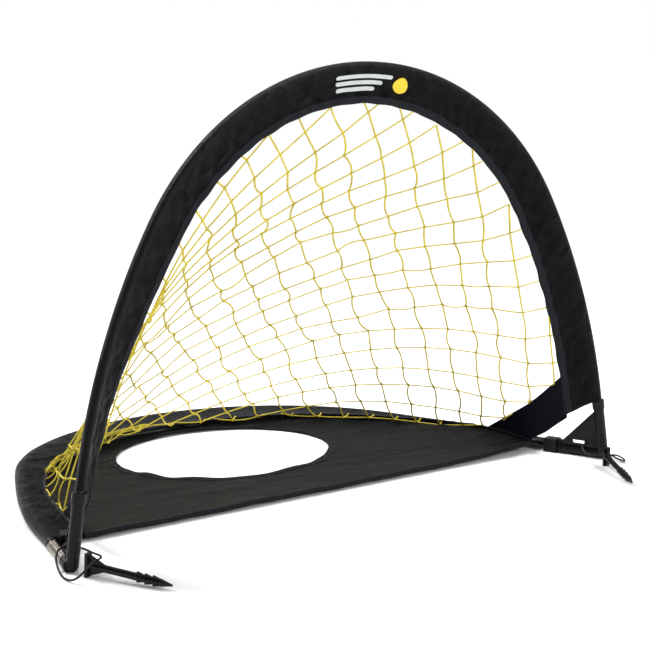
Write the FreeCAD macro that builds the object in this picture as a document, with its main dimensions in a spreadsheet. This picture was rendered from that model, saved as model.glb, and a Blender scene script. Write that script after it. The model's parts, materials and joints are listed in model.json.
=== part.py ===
"""Pop-up lawn goal.

Two sprung hoops share their feet: the arch stands upright and frames the goal mouth, the base
lies on the ground behind it. Moulded corner brackets hold the arch in their posts and rest on
their feet, and a coil spring joins each bracket to the base pole. Fabric sleeves, a floor panel
and a knotted net close the pocket. A peg on a short tether hangs from each bracket.

Millimetres. X runs along the goal mouth, +Y to the back, +Z up. The origin is on the ground,
midway between the left and right sides and midway between the front and the back.
"""
import FreeCAD, Part
import math
import os
import Sketcher
from FreeCAD import Placement, Rotation, Vector

os.makedirs("parts", exist_ok=True)
doc = FreeCAD.newDocument("pop_up_goal")

# Dimensions: alias, value or formula, what it is. Lengths in mm, angles in degrees.
SIZES = [
    ("post_span", 1216, "distance between the two post axes at the ground"),
    ("post_lean", 8.8, "inward lean of each post"),
    ("post_rise", 131, "post length along its axis, from the ground to its mouth"),
    ("arch_rise", 814, "height of the arch pole's axis at the crown"),
    ("arch_side_radius", 1257, "radius of the arch pole's side stretches"),
    ("base_offset", 4, "how far outside the post the base pole's straight end points"),
    ("base_span", "=post_span + 2 * base_offset", "distance between the base pole's ends at the posts"),
    ("base_toe", 10, "inward turn of the base pole's straight ends"),
    ("base_leg", 136, "straight stretch at each end of the base hoop"),
    ("base_reach", 910, "depth of the base pole's axis behind the posts"),
    ("base_side_radius", 2490, "radius of the base pole's side stretches"),
    ("pole_dia", 12.5, "diameter of both fibreglass poles"),
    ("pole_start", 30, "height along the post at which the arch pole seats"),
    ("spring_wire", 3.4, "wire diameter of the corner springs"),
    ("spring_gap", 0.35, "radial gap between the base pole and the corner springs"),
    ("spring_dia", "=pole_dia + 2 * spring_wire + 2 * spring_gap", "outer diameter of the corner springs"),
    ("spring_pitch", 4.2, "pitch of the corner springs"),
    ("spring_start", 28, "distance from the post at which the spring seats on the bracket"),
    ("spring_stop", 124, "distance from the post at which the spring ends at the cuff"),
    ("pole_overlap", 25, "length of base pole inside the spring"),
    ("pin_length", 36, "length of the pin that holds the spring on the bracket"),
    ("cloth", 3, "thickness of a doubled sleeve"),
    ("arch_sleeve_dia", 16, "outer diameter of the arch sleeve where it wraps the pole"),
    ("arch_band", 74, "width of the arch sleeve inside the pole's axis"),
    ("seam_side", 72, "distance from the base pole in to the net seam, at the posts"),
    ("seam_span", "=base_span - 2 * seam_side", "distance between the ends of the net seam at the posts"),
    ("seam_toe", 6, "inward turn of the net seam at its ends"),
    ("seam_back", 135, "distance from the base pole in to the net seam, at the back"),
    ("seam_reach", "=base_reach - seam_back", "depth of the net seam behind the posts"),
    ("seam_side_radius", 2450, "radius of the net seam's side stretches"),
    ("hem_tape", 10, "width of the binding tapes"),
    ("tape_cloth", 1.2, "thickness of the binding tapes"),
    ("floor_cloth", 2, "thickness of the floor panel"),
    ("floor_front", 140, "distance from the posts to the floor panel's front edge"),
    ("front_tape", 12, "width of the webbing on the floor's front edge"),
    ("hole_long", 480, "length of the floor opening along the goal"),
    ("hole_short", 410, "length of the floor opening from front to back"),
    ("opening_back", 40, "distance from the net seam to the floor opening, at the back"),
    ("hole_centre", "=seam_reach - opening_back - hole_short / 2", "depth of the opening's centre"),
    ("net_cloth", 3, "thickness taken up by the knotted net"),
    ("gusset_width", 62, "width of the corner gussets up the arch"),
    ("gusset_run", 90, "width of the corner gussets along the net seam"),
    ("post_dia", 22, "outer diameter of the bracket's post and foot"),
    ("foot_toe", 20, "inward turn of the bracket's foot"),
    ("foot_length", 134, "length of the bracket's foot from the corner"),
    ("foot_flat", 0.6, "height of the flat along the underside of the foot"),
    ("toe_length", 30, "length of the square block at the foot's end"),
    ("toe_width", 26, "width of the square block at the foot's end"),
    ("toe_height", 30, "height of the square block at the foot's end"),
    ("cap_dia", 25.5, "outer diameter of the collar at the mouth of the post"),
    ("cap_height", 18, "height of the collar"),
    ("web_thickness", 4, "thickness of the bracket's web"),
    ("web_rise", 104, "height of the web along the post"),
    ("web_run", 112, "length of the web along the foot"),
    ("rim_width", 14, "width of the flange on the web's sloping edge"),
    ("rim_thickness", 4, "thickness of the flange on the web's sloping edge"),
    ("slot_length", 34, "length of the tether slot"),
    ("slot_height", 8, "height of the tether slot"),
    ("slot_centre", 52, "distance from the corner to the middle of the tether slot"),
    ("slot_rise", 20, "height of the middle of the slot above the foot's axis"),
    ("ledge_run", 34, "length of the ledge that joins the web to the block at the foot's end"),
    ("ledge_rise", 19, "height of the ledge's top above the foot's axis"),
    ("ledge_width", 8, "width of the ledge"),
    ("slit_length", 14, "length of the slit under the ledge"),
    ("slit_height", 3.5, "height of the slit under the ledge"),
    ("bump_dia", 7, "diameter of the grip bumps"),
    ("bump_pitch", 13, "spacing of the grip bumps"),
    ("peg_length", 156, "overall length of a peg"),
    ("peg_width", 12, "width of the peg's crossed blades"),
    ("peg_blade", 3.6, "thickness of the peg's crossed blades"),
    ("peg_tip", 20, "length of the pointed tip"),
    ("barb_reach", 3, "how far a barb stands out of the blade"),
    ("barb_pitch", 15, "spacing of the barbs"),
    ("head_width", 40, "width of the peg's head plate"),
    ("head_thickness", 5, "thickness of the peg's head plate"),
    ("head_depth", 14, "depth of the peg's head plate"),
    ("flare_length", 30, "length of the flare under the head"),
    ("hole_dia", 5.2, "diameter of the cord hole in the peg"),
    ("hole_offset", 8.6, "height of the cord hole above the peg's axis"),
    ("hole_back", 11.5, "distance of the cord hole from the middle of the head plate"),
    ("cord_dia", 3.6, "diameter of the tether cord"),
    ("knot_dia", 11, "diameter of the tether's knot"),
    ("clearance", 0.3, "gap between pieces that lie against each other"),
    ("fit_gap", 0.4, "radial gap of a pole or pin in its socket"),
    ("groove_gap", 0.8, "radial gap between the spring and the bracket's foot"),
]

sheet = doc.addObject("Spreadsheet::Sheet", "dims")
for row, (alias, value, note) in enumerate(SIZES, start=1):
    sheet.set(f"A{row}", note)
    sheet.set(f"B{row}", str(value))
    sheet.setAlias(f"B{row}", alias)
doc.recompute()


def size(alias):
    """Value of a driving dimension as the sheet holds it."""
    return float(sheet.get(alias))


def sin(degrees):
    return math.sin(math.radians(degrees))


def cos(degrees):
    return math.cos(math.radians(degrees))


CLEARANCE = size("clearance")
BASE_Z = size("spring_dia") / 2
FRONT_REACH = size("cap_dia") / 2
BASE_DEPTH = size("base_reach") + size("spring_dia") / 2
POST_Y = -(BASE_DEPTH - FRONT_REACH) / 2


# ---------------------------------------------------------------- construction helpers
def placed(origin, x_axis, y_axis):
    """Placement whose local X and Y run along the two given directions."""
    x_axis = Vector(x_axis).normalize()
    z_axis = x_axis.cross(Vector(y_axis)).normalize()
    y_axis = z_axis.cross(x_axis)
    return Placement(origin, Rotation(x_axis, y_axis, z_axis, "ZXY"))


def along(origin, direction):
    """Placement whose local Z runs along the given direction."""
    return Placement(origin, Rotation(Vector(0, 0, 1), Vector(direction)))


def bind(obj, **expressions):
    """Ties each named size of an object to an expression on the sheet."""
    for name, expression in expressions.items():
        obj.setExpression(name, expression)
    return obj


def cylinder(name, radius, height, placement):
    obj = doc.addObject("Part::Cylinder", name)
    obj.Placement = placement
    return bind(obj, Radius=radius, Height=height)


def sphere(name, radius, centre):
    obj = doc.addObject("Part::Sphere", name)
    obj.Placement = Placement(centre, Rotation())
    return bind(obj, Radius=radius)


def block(name, length, width, height, placement):
    obj = doc.addObject("Part::Box", name)
    obj.Placement = placement
    return bind(obj, Length=length, Width=width, Height=height)


def fused(name, pieces):
    obj = doc.addObject("Part::MultiFuse", name)
    obj.Shapes = pieces
    obj.Refine = True
    return obj


def cut(name, base, tool):
    obj = doc.addObject("Part::Cut", name)
    obj.Base, obj.Tool = base, tool
    obj.Refine = True
    return obj


def mirrored(name, source):
    """The same piece on the other side of the goal."""
    obj = doc.addObject("Part::Mirroring", name)
    obj.Source = source
    obj.Base, obj.Normal = Vector(0, 0, 0), Vector(1, 0, 0)
    return obj


def outline(name, points, placement):
    """Closed sketch through the given points, in the placement's XY plane."""
    sketch = doc.addObject("Sketcher::SketchObject", name)
    corners = [Vector(x, y, 0) for x, y in points]
    for start, end in zip(corners, corners[1:] + corners[:1]):
        sketch.addGeometry(Part.LineSegment(start, end), False)
    sketch.Placement = placement
    return sketch


def extruded(name, sketch, thickness):
    """Plate made from a closed sketch, half of its thickness on each side."""
    obj = doc.addObject("Part::Extrusion", name)
    obj.Base = sketch
    obj.DirMode = "Normal"
    obj.Solid = True
    obj.Symmetric = True
    return bind(obj, LengthFwd=thickness)


def shaped(name, shape, placement=None):
    """Piece whose outline follows a hoop, built with Part's own functions."""
    obj = doc.addObject("Part::Feature", name)
    obj.Shape = shape
    if placement is not None:
        obj.Placement = placement
    return obj


# ---------------------------------------------------------------- the hoops
def first_point(edge):
    return edge.valueAt(edge.FirstParameter)


def last_point(edge):
    return edge.valueAt(edge.LastParameter)


def mirror_point(point):
    return Vector(-point.x, point.y, point.z)


class Hoop:
    """Symmetric bow in a plane: straight leg, side arc, crown arc, side arc, straight leg."""

    def __init__(self, span, lean, leg, reach, side_radius):
        self.half, self.lean, self.leg = span / 2, lean, leg
        self.reach, self.side_radius = reach, side_radius
        self.along_leg = Vector(-sin(lean), cos(lean), 0)
        self.leg_end = self.on_leg(leg)
        self.side_centre = self.leg_end - Vector(cos(lean), sin(lean), 0) * side_radius
        drop = self.side_centre.y - reach
        room = side_radius**2 - self.side_centre.x**2 - drop**2
        self.crown_radius = room / (2 * (drop + side_radius))
        self.crown_centre = Vector(0, reach - self.crown_radius, 0)
        between = self.crown_centre - self.side_centre
        self.shoulder = math.atan2(between.y, between.x)

    def on_leg(self, distance):
        """Point on the right leg at a distance from the hoop's foot."""
        return Vector(self.half, 0, 0) + self.along_leg * distance

    def inset(self, distance):
        """The parallel hoop a distance further in."""
        return Hoop(
            2 * (self.half - distance / cos(self.lean)),
            self.lean,
            self.leg - distance * math.tan(math.radians(self.lean)),
            self.reach - distance,
            self.side_radius - distance,
        )

    def rise(self, height):
        """Centre and radius of the right arc at a height above the feet, and the angle on it."""
        above = height > self.side_centre.y + self.side_radius * math.sin(self.shoulder)
        centre = self.crown_centre if above else self.side_centre
        radius = self.crown_radius if above else self.side_radius
        return centre, radius, math.asin((height - centre.y) / radius)

    def arcs(self, height=None):
        """Right side, crown and left side as curves, from a height or from the legs."""
        up = Vector(0, 0, 1)
        centre, start = self.side_centre, math.radians(self.lean)
        if height is not None:
            centre, _, start = self.rise(height)
        crown = Part.Circle(self.crown_centre, up, self.crown_radius)
        if centre is self.crown_centre:
            third = (math.pi - 2 * start) / 3
            return [Part.ArcOfCircle(crown, start + k * third, start + (k + 1) * third) for k in range(3)]
        left_centre = Vector(-self.side_centre.x, self.side_centre.y, 0)
        right = Part.Circle(self.side_centre, up, self.side_radius)
        left = Part.Circle(left_centre, up, self.side_radius)
        return [
            Part.ArcOfCircle(right, start, self.shoulder),
            Part.ArcOfCircle(crown, self.shoulder, math.pi - self.shoulder),
            Part.ArcOfCircle(left, math.pi - self.shoulder, math.pi - start),
        ]

    def side_point(self, height):
        """Point on the hoop's right side at a height above the feet."""
        centre, radius, angle = self.rise(height)
        return centre + Vector(math.cos(angle), math.sin(angle), 0) * radius

    def edges(self, height=None):
        return [arc.toShape() for arc in self.arcs(height)]

    def region(self, height):
        """Face between the hoop and the straight line that joins its sides at a height."""
        edges = self.edges(height)
        closing = Part.makeLine(last_point(edges[-1]), first_point(edges[0]))
        return Part.Face(Part.Wire(edges + [closing]))


def hoop(*aliases):
    return Hoop(*(size(alias) for alias in aliases))


arch = hoop("post_span", "post_lean", "post_rise", "arch_rise", "arch_side_radius")
base = hoop("base_span", "base_toe", "base_leg", "base_reach", "base_side_radius")
seam = hoop("seam_span", "seam_toe", "base_leg", "seam_reach", "seam_side_radius")

ARCH_PLANE = Placement(Vector(0, POST_Y, 0), Rotation(Vector(1, 0, 0), 90))
BASE_PLANE = Placement(Vector(0, POST_Y, BASE_Z), Rotation())


def layer(face, thickness, middle=0):
    """Face of a hoop's plane made solid, its middle a distance above the plane."""
    face.translate(Vector(0, 0, middle - thickness / 2))
    return face.extrude(Vector(0, 0, thickness))


def between(outer, inner, height):
    """Flat face between two hoops, above a height."""
    return outer.region(height).cut(inner.region(height))


def tube(bow, radius):
    """Round tube along a hoop's arcs."""
    edges = bow.edges()
    ring = Part.Wire(Part.makeCircle(radius, first_point(edges[0]), bow.along_leg))
    return Part.Wire(edges).makePipeShell([ring], True, False)


def pole(name, bow, plane, start, words):
    """Round pole swept along a constrained sketch of its hoop, from a distance along the legs."""
    sketch = doc.addObject("Sketcher::SketchObject", name + "_path")
    foot, foot_left = bow.on_leg(start), mirror_point(bow.on_leg(start))
    end, end_left = bow.leg_end, mirror_point(bow.leg_end)
    curves = [Part.LineSegment(foot, end), *bow.arcs(), Part.LineSegment(end_left, foot_left)]
    for curve in curves:
        sketch.addGeometry(curve, False)
    crown_point = len(curves)
    sketch.addGeometry(Part.Point(Vector(0, bow.reach, 0)), True)
    for joint in range(len(curves) - 1):
        sketch.addConstraint(Sketcher.Constraint("Tangent", joint, 2, joint + 1, 1))
    sketch.addConstraint(Sketcher.Constraint("Symmetric", 0, 1, 4, 2, -2))
    sketch.addConstraint(Sketcher.Constraint("Symmetric", 0, 2, 4, 1, -2))
    sketch.addConstraint(Sketcher.Constraint("Equal", 1, 3))
    sketch.addConstraint(Sketcher.Constraint("PointOnObject", crown_point, 1, -2))
    sketch.addConstraint(Sketcher.Constraint("PointOnObject", crown_point, 1, 2))
    sized = [
        (Sketcher.Constraint("DistanceX", 4, 2, 0, 1, 2 * foot.x), "{span} - 2 * {start} * sin({lean})"),
        (Sketcher.Constraint("DistanceY", -1, 1, 0, 1, foot.y), "{start} * cos({lean})"),
        (Sketcher.Constraint("DistanceX", 0, 2, 0, 1, foot.x - end.x), "({leg} - {start}) * sin({lean})"),
        (Sketcher.Constraint("DistanceY", 0, 1, 0, 2, end.y - foot.y), "({leg} - {start}) * cos({lean})"),
        (Sketcher.Constraint("Radius", 1, bow.side_radius), "{side_radius}"),
        (Sketcher.Constraint("DistanceY", -1, 1, crown_point, 1, bow.reach), "{reach}"),
    ]
    for constraint, expression in sized:
        index = sketch.addConstraint(constraint)
        sketch.setExpression(f"Constraints[{index}]", expression.format(**words))
    sketch.Placement = plane
    section = doc.addObject("Part::Circle", name + "_section")
    section.Placement = along(plane.multVec(foot), plane.Rotation.multVec(bow.along_leg))
    bind(section, Radius="dims.pole_dia / 2")
    sweep = doc.addObject("Part::Sweep", name)
    sweep.Sections = [section]
    sweep.Spine = (sketch, [f"Edge{i + 1}" for i in range(len(curves))])
    sweep.Solid = True
    sweep.Frenet = False
    return sweep


arch_pole = pole("arch_pole", arch, ARCH_PLANE, size("pole_start"), {
    "span": "dims.post_span", "lean": "dims.post_lean", "leg": "dims.post_rise",
    "start": "dims.pole_start", "reach": "dims.arch_rise", "side_radius": "dims.arch_side_radius",
})
POLE_FRONT = size("spring_stop") - size("pole_overlap")
base_pole = pole("base_pole", base, BASE_PLANE, POLE_FRONT, {
    "span": "dims.base_span", "lean": "dims.base_toe", "leg": "dims.base_leg",
    "start": "(dims.spring_stop - dims.pole_overlap)", "reach": "dims.base_reach",
    "side_radius": "dims.base_side_radius",
})

# ---------------------------------------------------------------- sleeves, floor and net
POLE_BORE = size("pole_dia") / 2 + size("fit_gap")
CLOTH = size("cloth")
NET = size("net_cloth")
TAPE = size("tape_cloth")
FLOOR = size("floor_cloth")
ON_CLOTH = CLOTH / 2 + CLEARANCE


def above(shape, height):
    """What is left of a flat piece above a height in its hoop's plane."""
    reach = 2 * size("post_span")
    below = Part.makeBox(2 * reach, reach, reach, Vector(-reach, height - reach, -reach / 2))
    return shape.cut(below)


def sleeve(name, bow, hem, plane, radius):
    """Cloth tube round the pole with a flat band that runs inward to the hem."""
    start = bow.leg_end.y
    band = layer(between(bow, hem, start), CLOTH)
    shape = band.fuse(tube(bow, radius)).cut(tube(bow, POLE_BORE))
    return shaped(name, above(shape, start + radius * sin(bow.lean) + CLEARANCE), plane)


def tape(name, hem, height, plane):
    """Binding tape along a hem, on the band's outer face."""
    face = between(hem.inset(-size("hem_tape")), hem, height)
    return shaped(name, layer(face, TAPE, ON_CLOTH + TAPE / 2), plane)


def hem_wire(hem, height, plane):
    """Outline of the net's edge along a hem: outer chain, left end, inner chain, right end."""
    outer, inner = hem.inset(-NET).edges(height), hem.edges(height)
    left = Part.makeLine(last_point(outer[-1]), last_point(inner[-1]))
    right = Part.makeLine(first_point(inner[0]), first_point(outer[0]))
    wire = Part.Wire([*outer, left, *reversed(inner), right])
    wire.Placement = plane
    return wire


def gusset_end(hem, low, high, plane):
    """Outline of the gusset's edge on the right of a hem, between two heights."""
    outer = hem.inset(-NET)
    corners = [outer.side_point(low), outer.side_point(high), hem.side_point(high), hem.side_point(low)]
    wire = Part.makePolygon([*corners, corners[0]])
    wire.Placement = plane
    return wire


arch_hem = arch.inset(size("arch_band"))
ARCH_START = arch.leg_end.y + size("cap_dia") / 2 * sin(arch.lean) + CLEARANCE
arch_sleeve = sleeve("arch_sleeve", arch, arch_hem, ARCH_PLANE, size("arch_sleeve_dia") / 2)
base_sleeve = sleeve("base_sleeve", base, seam, BASE_PLANE, size("spring_dia") / 2)
arch_tape = tape("arch_hem_tape", arch_hem, ARCH_START, ARCH_PLANE)
net_line = seam.inset(-NET - CLEARANCE)
base_tape = tape("base_hem_tape", net_line, size("floor_front"), BASE_PLANE)

floor_edge = seam.inset(CLEARANCE)


def oval(extra):
    """Face of the floor opening, widened all round."""
    long_half, short_half = size("hole_long") / 2 + extra, size("hole_short") / 2 + extra
    curve = Part.Ellipse(Vector(0, size("hole_centre"), 0), long_half, short_half)
    return Part.Face(Part.Wire([curve.toShape()]))


floor_face = floor_edge.region(size("floor_front")).cut(oval(0))
floor_panel = shaped("floor_panel", layer(floor_face, FLOOR, 0), BASE_PLANE)
hole_ring = oval(size("hem_tape")).cut(oval(0))
hole_tape = shaped("hole_hem_tape", layer(hole_ring, TAPE, FLOOR / 2 + CLEARANCE + TAPE / 2), BASE_PLANE)

FRONT_HALF = floor_edge.side_point(size("floor_front")).x
front_tape = block(
    "front_hem_tape", f"{2 * FRONT_HALF} mm", "dims.front_tape", "dims.cloth * 2",
    Placement(BASE_PLANE.multVec(Vector(
        -FRONT_HALF, size("floor_front") - CLEARANCE - size("front_tape"), -CLOTH)), Rotation()),
)

net_arch_plane = ARCH_PLANE.multiply(Placement(Vector(0, 0, -ON_CLOTH), Rotation()))
net_base_plane = BASE_PLANE.multiply(Placement(Vector(0, 0, ON_CLOTH), Rotation()))
GUSSET_LOW, GUSSET_HIGH = ARCH_START, ARCH_START + size("gusset_width")
FLOOR_LOW, FLOOR_HIGH = size("floor_front"), size("floor_front") + size("gusset_run")
net_panel = shaped("net_panel", Part.makeLoft([
    hem_wire(arch_hem, GUSSET_HIGH + CLEARANCE, net_arch_plane),
    hem_wire(seam, FLOOR_HIGH + CLEARANCE, net_base_plane),
], True, True))
gusset_right = shaped("gusset_right", Part.makeLoft([
    gusset_end(arch_hem, GUSSET_LOW, GUSSET_HIGH, net_arch_plane),
    gusset_end(seam, FLOOR_LOW, FLOOR_HIGH, net_base_plane),
], True, True))
gusset_left = mirrored("gusset_left", gusset_right)

# ---------------------------------------------------------------- corner springs
LEG_DIRECTION = BASE_PLANE.Rotation.multVec(base.along_leg)
spring_seat = size("spring_start") + CLEARANCE


def on_base_leg(distance):
    return BASE_PLANE.multVec(base.on_leg(distance))


coil = doc.addObject("Part::Helix", "spring_path")
bind(coil, Radius="(dims.spring_dia - dims.spring_wire) / 2", Pitch="dims.spring_pitch",
     Height="dims.spring_stop - dims.spring_start - 2 * dims.clearance - dims.spring_wire")
wire_section = doc.addObject("Part::Circle", "spring_section")
wire_section.Placement = along(Vector((size("spring_dia") - size("spring_wire")) / 2, 0, 0), Vector(0, 1, 0))
bind(wire_section, Radius="dims.spring_wire / 2")
doc.recompute()
spring_right = doc.addObject("Part::Sweep", "base_spring_right")
spring_right.Sections = [wire_section]
spring_right.Spine = (coil, [f"Edge{i + 1}" for i in range(len(coil.Shape.Edges))])
spring_right.Solid = True
spring_right.Frenet = True
spring_right.Placement = along(on_base_leg(spring_seat + size("spring_wire") / 2), LEG_DIRECTION)
spring_left = mirrored("base_spring_left", spring_right)

PIN_IN_BRACKET = size("pin_length") / 2
pin_right = cylinder(
    "spring_pin_right", "dims.spring_dia / 2 - dims.spring_wire - dims.clearance", "dims.pin_length",
    along(on_base_leg(size("spring_start") - PIN_IN_BRACKET), LEG_DIRECTION),
)
pin_left = mirrored("spring_pin_left", pin_right)

cuff_place = along(on_base_leg(size("spring_stop")), LEG_DIRECTION)
cuff_body = cylinder("cuff_body", "dims.spring_dia / 2", "dims.base_leg - dims.spring_stop", cuff_place)
cuff_bore = cylinder("cuff_bore", "dims.pole_dia / 2 + dims.clearance", "dims.base_leg", cuff_place)
cuff_right = cut("base_cuff_right", cuff_body, cuff_bore)
cuff_left = mirrored("base_cuff_left", cuff_right)

# ---------------------------------------------------------------- corner brackets
POST_R = size("post_dia") / 2
FOOT_Z = POST_R - size("foot_flat")
post_direction = ARCH_PLANE.Rotation.multVec(arch.along_leg)
foot_direction = Vector(-sin(size("foot_toe")), cos(size("foot_toe")), 0)
corner = ARCH_PLANE.multVec(arch.on_leg(FOOT_Z / cos(arch.lean)))
web_plane = placed(corner, foot_direction, post_direction)
post_mouth = ARCH_PLANE.multVec(arch.leg_end)
foot_inward = Vector(-cos(size("foot_toe")), -sin(size("foot_toe")), 0)


def in_web(run, rise):
    """Point of the web at a distance along the foot and a distance up the post."""
    point = foot_direction * run + post_direction * rise
    local = web_plane.inverse().Rotation.multVec(point)
    return local.x, local.y


def rim_points():
    """Corners of the flange along the web's sloping edge."""
    run, rise, depth = size("web_run"), size("web_rise"), size("rim_thickness")
    shrink = 1 - depth / (run * rise / math.hypot(run, rise))
    return [in_web(run, 0), in_web(0, rise), in_web(0, rise * shrink), in_web(run * shrink, 0)]


POST_LENGTH = "(dims.post_rise - (dims.post_dia / 2 - dims.foot_flat) / cos(dims.post_lean))"
shell = [
    cylinder("post", "dims.post_dia / 2", POST_LENGTH, along(corner, post_direction)),
    cylinder("foot", "dims.post_dia / 2", "dims.foot_length", along(corner, foot_direction)),
    sphere("heel", "dims.post_dia / 2", corner),
]
collar_foot = post_mouth - post_direction * size("cap_height")
shell.append(cylinder("collar", "dims.cap_dia / 2", "dims.cap_height", along(collar_foot, post_direction)))
toe_start = corner + foot_direction * (size("foot_length") - size("toe_length"))
toe_place = placed(Vector(toe_start.x, toe_start.y, 0), foot_direction, foot_inward)
toe_corner = Placement(Vector(0, -size("toe_width") / 2, 0), Rotation())
shell.append(block("toe", "dims.toe_length", "dims.toe_width", "dims.toe_height", toe_place * toe_corner))
ledge_start = size("foot_length") - size("toe_length") - size("ledge_run")
ledge_place = placed(corner + foot_direction * ledge_start, foot_direction, foot_inward)
ledge_corner = Placement(Vector(0, -size("ledge_width") / 2, 0), Rotation())
shell.append(block(
    "ledge", "dims.ledge_run + dims.toe_length / 2", "dims.ledge_width", "dims.ledge_rise",
    ledge_place * ledge_corner,
))
web_corners = [(0, 0), in_web(size("web_run"), 0), in_web(0, size("web_rise"))]
shell.append(extruded("web", outline("web_outline", web_corners, web_plane), "dims.web_thickness"))
shell.append(extruded("rim", outline("rim_outline", rim_points(), web_plane), "dims.rim_width"))
shell.append(cylinder(
    "spring_boss", "dims.spring_dia / 2", "dims.spring_start",
    along(on_base_leg(0), LEG_DIRECTION),
))
BUMP_OUT = POST_R - size("bump_dia") / 4
bump_count = int((size("web_rise") - size("bump_pitch")) / size("bump_pitch"))
for index in range(bump_count):
    step = size("bump_pitch") * (index + 1.5)
    on_post = corner + post_direction * step - Vector(0, BUMP_OUT, 0)
    on_foot = corner + foot_direction * step + foot_inward * BUMP_OUT
    shell.append(sphere(f"post_bump_{index}", "dims.bump_dia / 2", on_post))
    shell.append(sphere(f"foot_bump_{index}", "dims.bump_dia / 2", on_foot))


def window(centre, rise, length, height):
    """Corners of an opening in the web, from its middle and its size."""
    low, high = rise - height / 2, rise + height / 2
    start, stop = centre - length / 2, centre + length / 2
    return [(start, low), (stop, low), (stop, high), (start, high)]


slot_corners = window(size("slot_centre"), size("slot_rise"), size("slot_length"), size("slot_height"))
SLIT_CENTRE = size("foot_length") - size("toe_length") - size("slit_length") / 2 - 2
SLIT_RISE = (POST_R + size("ledge_rise")) / 2 - 1
slit_corners = window(SLIT_CENTRE, SLIT_RISE, size("slit_length"), size("slit_height"))
hollows = [
    cylinder("pole_socket", "dims.pole_dia / 2 + dims.fit_gap", "dims.post_rise",
             along(ARCH_PLANE.multVec(arch.on_leg(size("pole_start"))), post_direction)),
    cylinder("spring_groove", "dims.spring_dia / 2 + dims.groove_gap", "dims.post_rise",
             along(on_base_leg(size("spring_start")), LEG_DIRECTION)),
    cylinder("pin_bore", "dims.spring_dia / 2 - dims.spring_wire", "dims.pin_length",
             along(on_base_leg(size("spring_start") - PIN_IN_BRACKET), LEG_DIRECTION)),
    extruded("tether_slot", outline("slot_outline", slot_corners, web_plane), "dims.post_dia"),
    extruded("toe_slit", outline("slit_outline", slit_corners, web_plane), "dims.post_dia"),
    block("ground", "dims.post_span", "dims.post_span", "dims.post_dia",
          Placement(Vector(0, POST_Y - size("post_span") / 2, -size("post_dia")), Rotation())),
]
bracket_right = cut("bracket_right", fused("bracket_solid", shell), fused("bracket_hollows", hollows))
bracket_left = mirrored("bracket_left", bracket_right)

# ---------------------------------------------------------------- pegs
def blade_points(flare_half):
    """Outline of one blade: flare under the head, shank, barbs, point, and back again."""
    half, reach, pitch = size("peg_width") / 2, size("barb_reach"), size("barb_pitch")
    shoulder = size("peg_length") - size("peg_tip")
    side = [(0, flare_half), (size("flare_length"), half)]
    for barb in (3, 2, 1):
        root = shoulder - barb * pitch
        side += [(root, half), (root, half + reach), (root + 0.8 * pitch, half)]
    side += [(shoulder, half), (size("peg_length"), size("peg_blade") / 4)]
    return side + [(x, -y) for x, y in reversed(side)]


def peg(name, head, heading, tip_height):
    """Peg from the middle of its head plate towards a compass heading, its point near the ground."""
    drop = math.asin((head.z - tip_height) / size("peg_length"))
    level = Vector(cos(heading), sin(heading), 0)
    axis = level * math.cos(drop) - Vector(0, 0, math.sin(drop))
    upright = placed(head, axis, Vector(0, 0, 1))
    flat = placed(head, axis, level.cross(Vector(0, 0, 1)))
    tall, wide = size("head_width") / 2, size("head_depth") / 2
    tall_outline = outline(name + "_tall", blade_points(0.9 * tall), upright)
    flat_outline = outline(name + "_flat", blade_points(0.9 * wide), flat)
    plate_place = upright * Placement(Vector(-size("head_thickness"), -tall, -wide), Rotation())
    body = fused(name + "_body", [
        extruded(name + "_tall_blade", tall_outline, "dims.peg_blade"),
        extruded(name + "_flat_blade", flat_outline, "dims.peg_blade"),
        block(name + "_plate", "dims.head_thickness", "dims.head_width", "dims.head_depth", plate_place),
    ])
    eye = Placement(Vector(size("hole_back"), size("hole_offset"), -wide), Rotation())
    return cut(name, body, cylinder(name + "_eye", "dims.hole_dia / 2", "dims.head_depth", upright * eye))


peg_left = peg("peg_left", Vector(-594, -494, size("head_width") / 2), -60, 8)
peg_right = peg("peg_right", Vector(565, -504, size("head_width") / 2), -118, 8)

# ---------------------------------------------------------------- tethers
# Each runs from the knot behind the slot over the spring to the ground, through the peg's eye
# and back through the slot to the knot. The points are places on the route, in mm.
TETHER_LEFT = [
    (-601.7, -412.8, 30.3), (-612, -414, 30), (-622, -423, 19), (-627, -442, 8), (-631, -464, 2.6),
    (-633, -488, 2.4), (-629, -509, 5), (-618, -519, 16), (-603, -513.5, 26.4), (-588, -504.6, 27.6),
    (-573, -495.6, 28.4), (-567, -477, 26), (-569, -455, 24), (-572, -436, 25), (-577.2, -421.5, 26.6),
    (-597.5, -414.2, 29.7),
]
TETHER_RIGHT = [
    (601.7, -412.8, 30.3), (612, -416, 29), (621, -430, 17), (625, -449, 7), (626, -470, 2.6),
    (621, -492, 2.4), (611, -512, 4), (596, -525, 14), (576, -523.8, 26.2), (559.3, -514.7, 27.6),
    (543, -505.8, 28.2), (536, -486, 25), (545, -465, 22), (557, -445, 23), (569, -429, 25.5),
    (577.2, -421.5, 26.6), (597.5, -414.2, 29.7),
]


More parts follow.
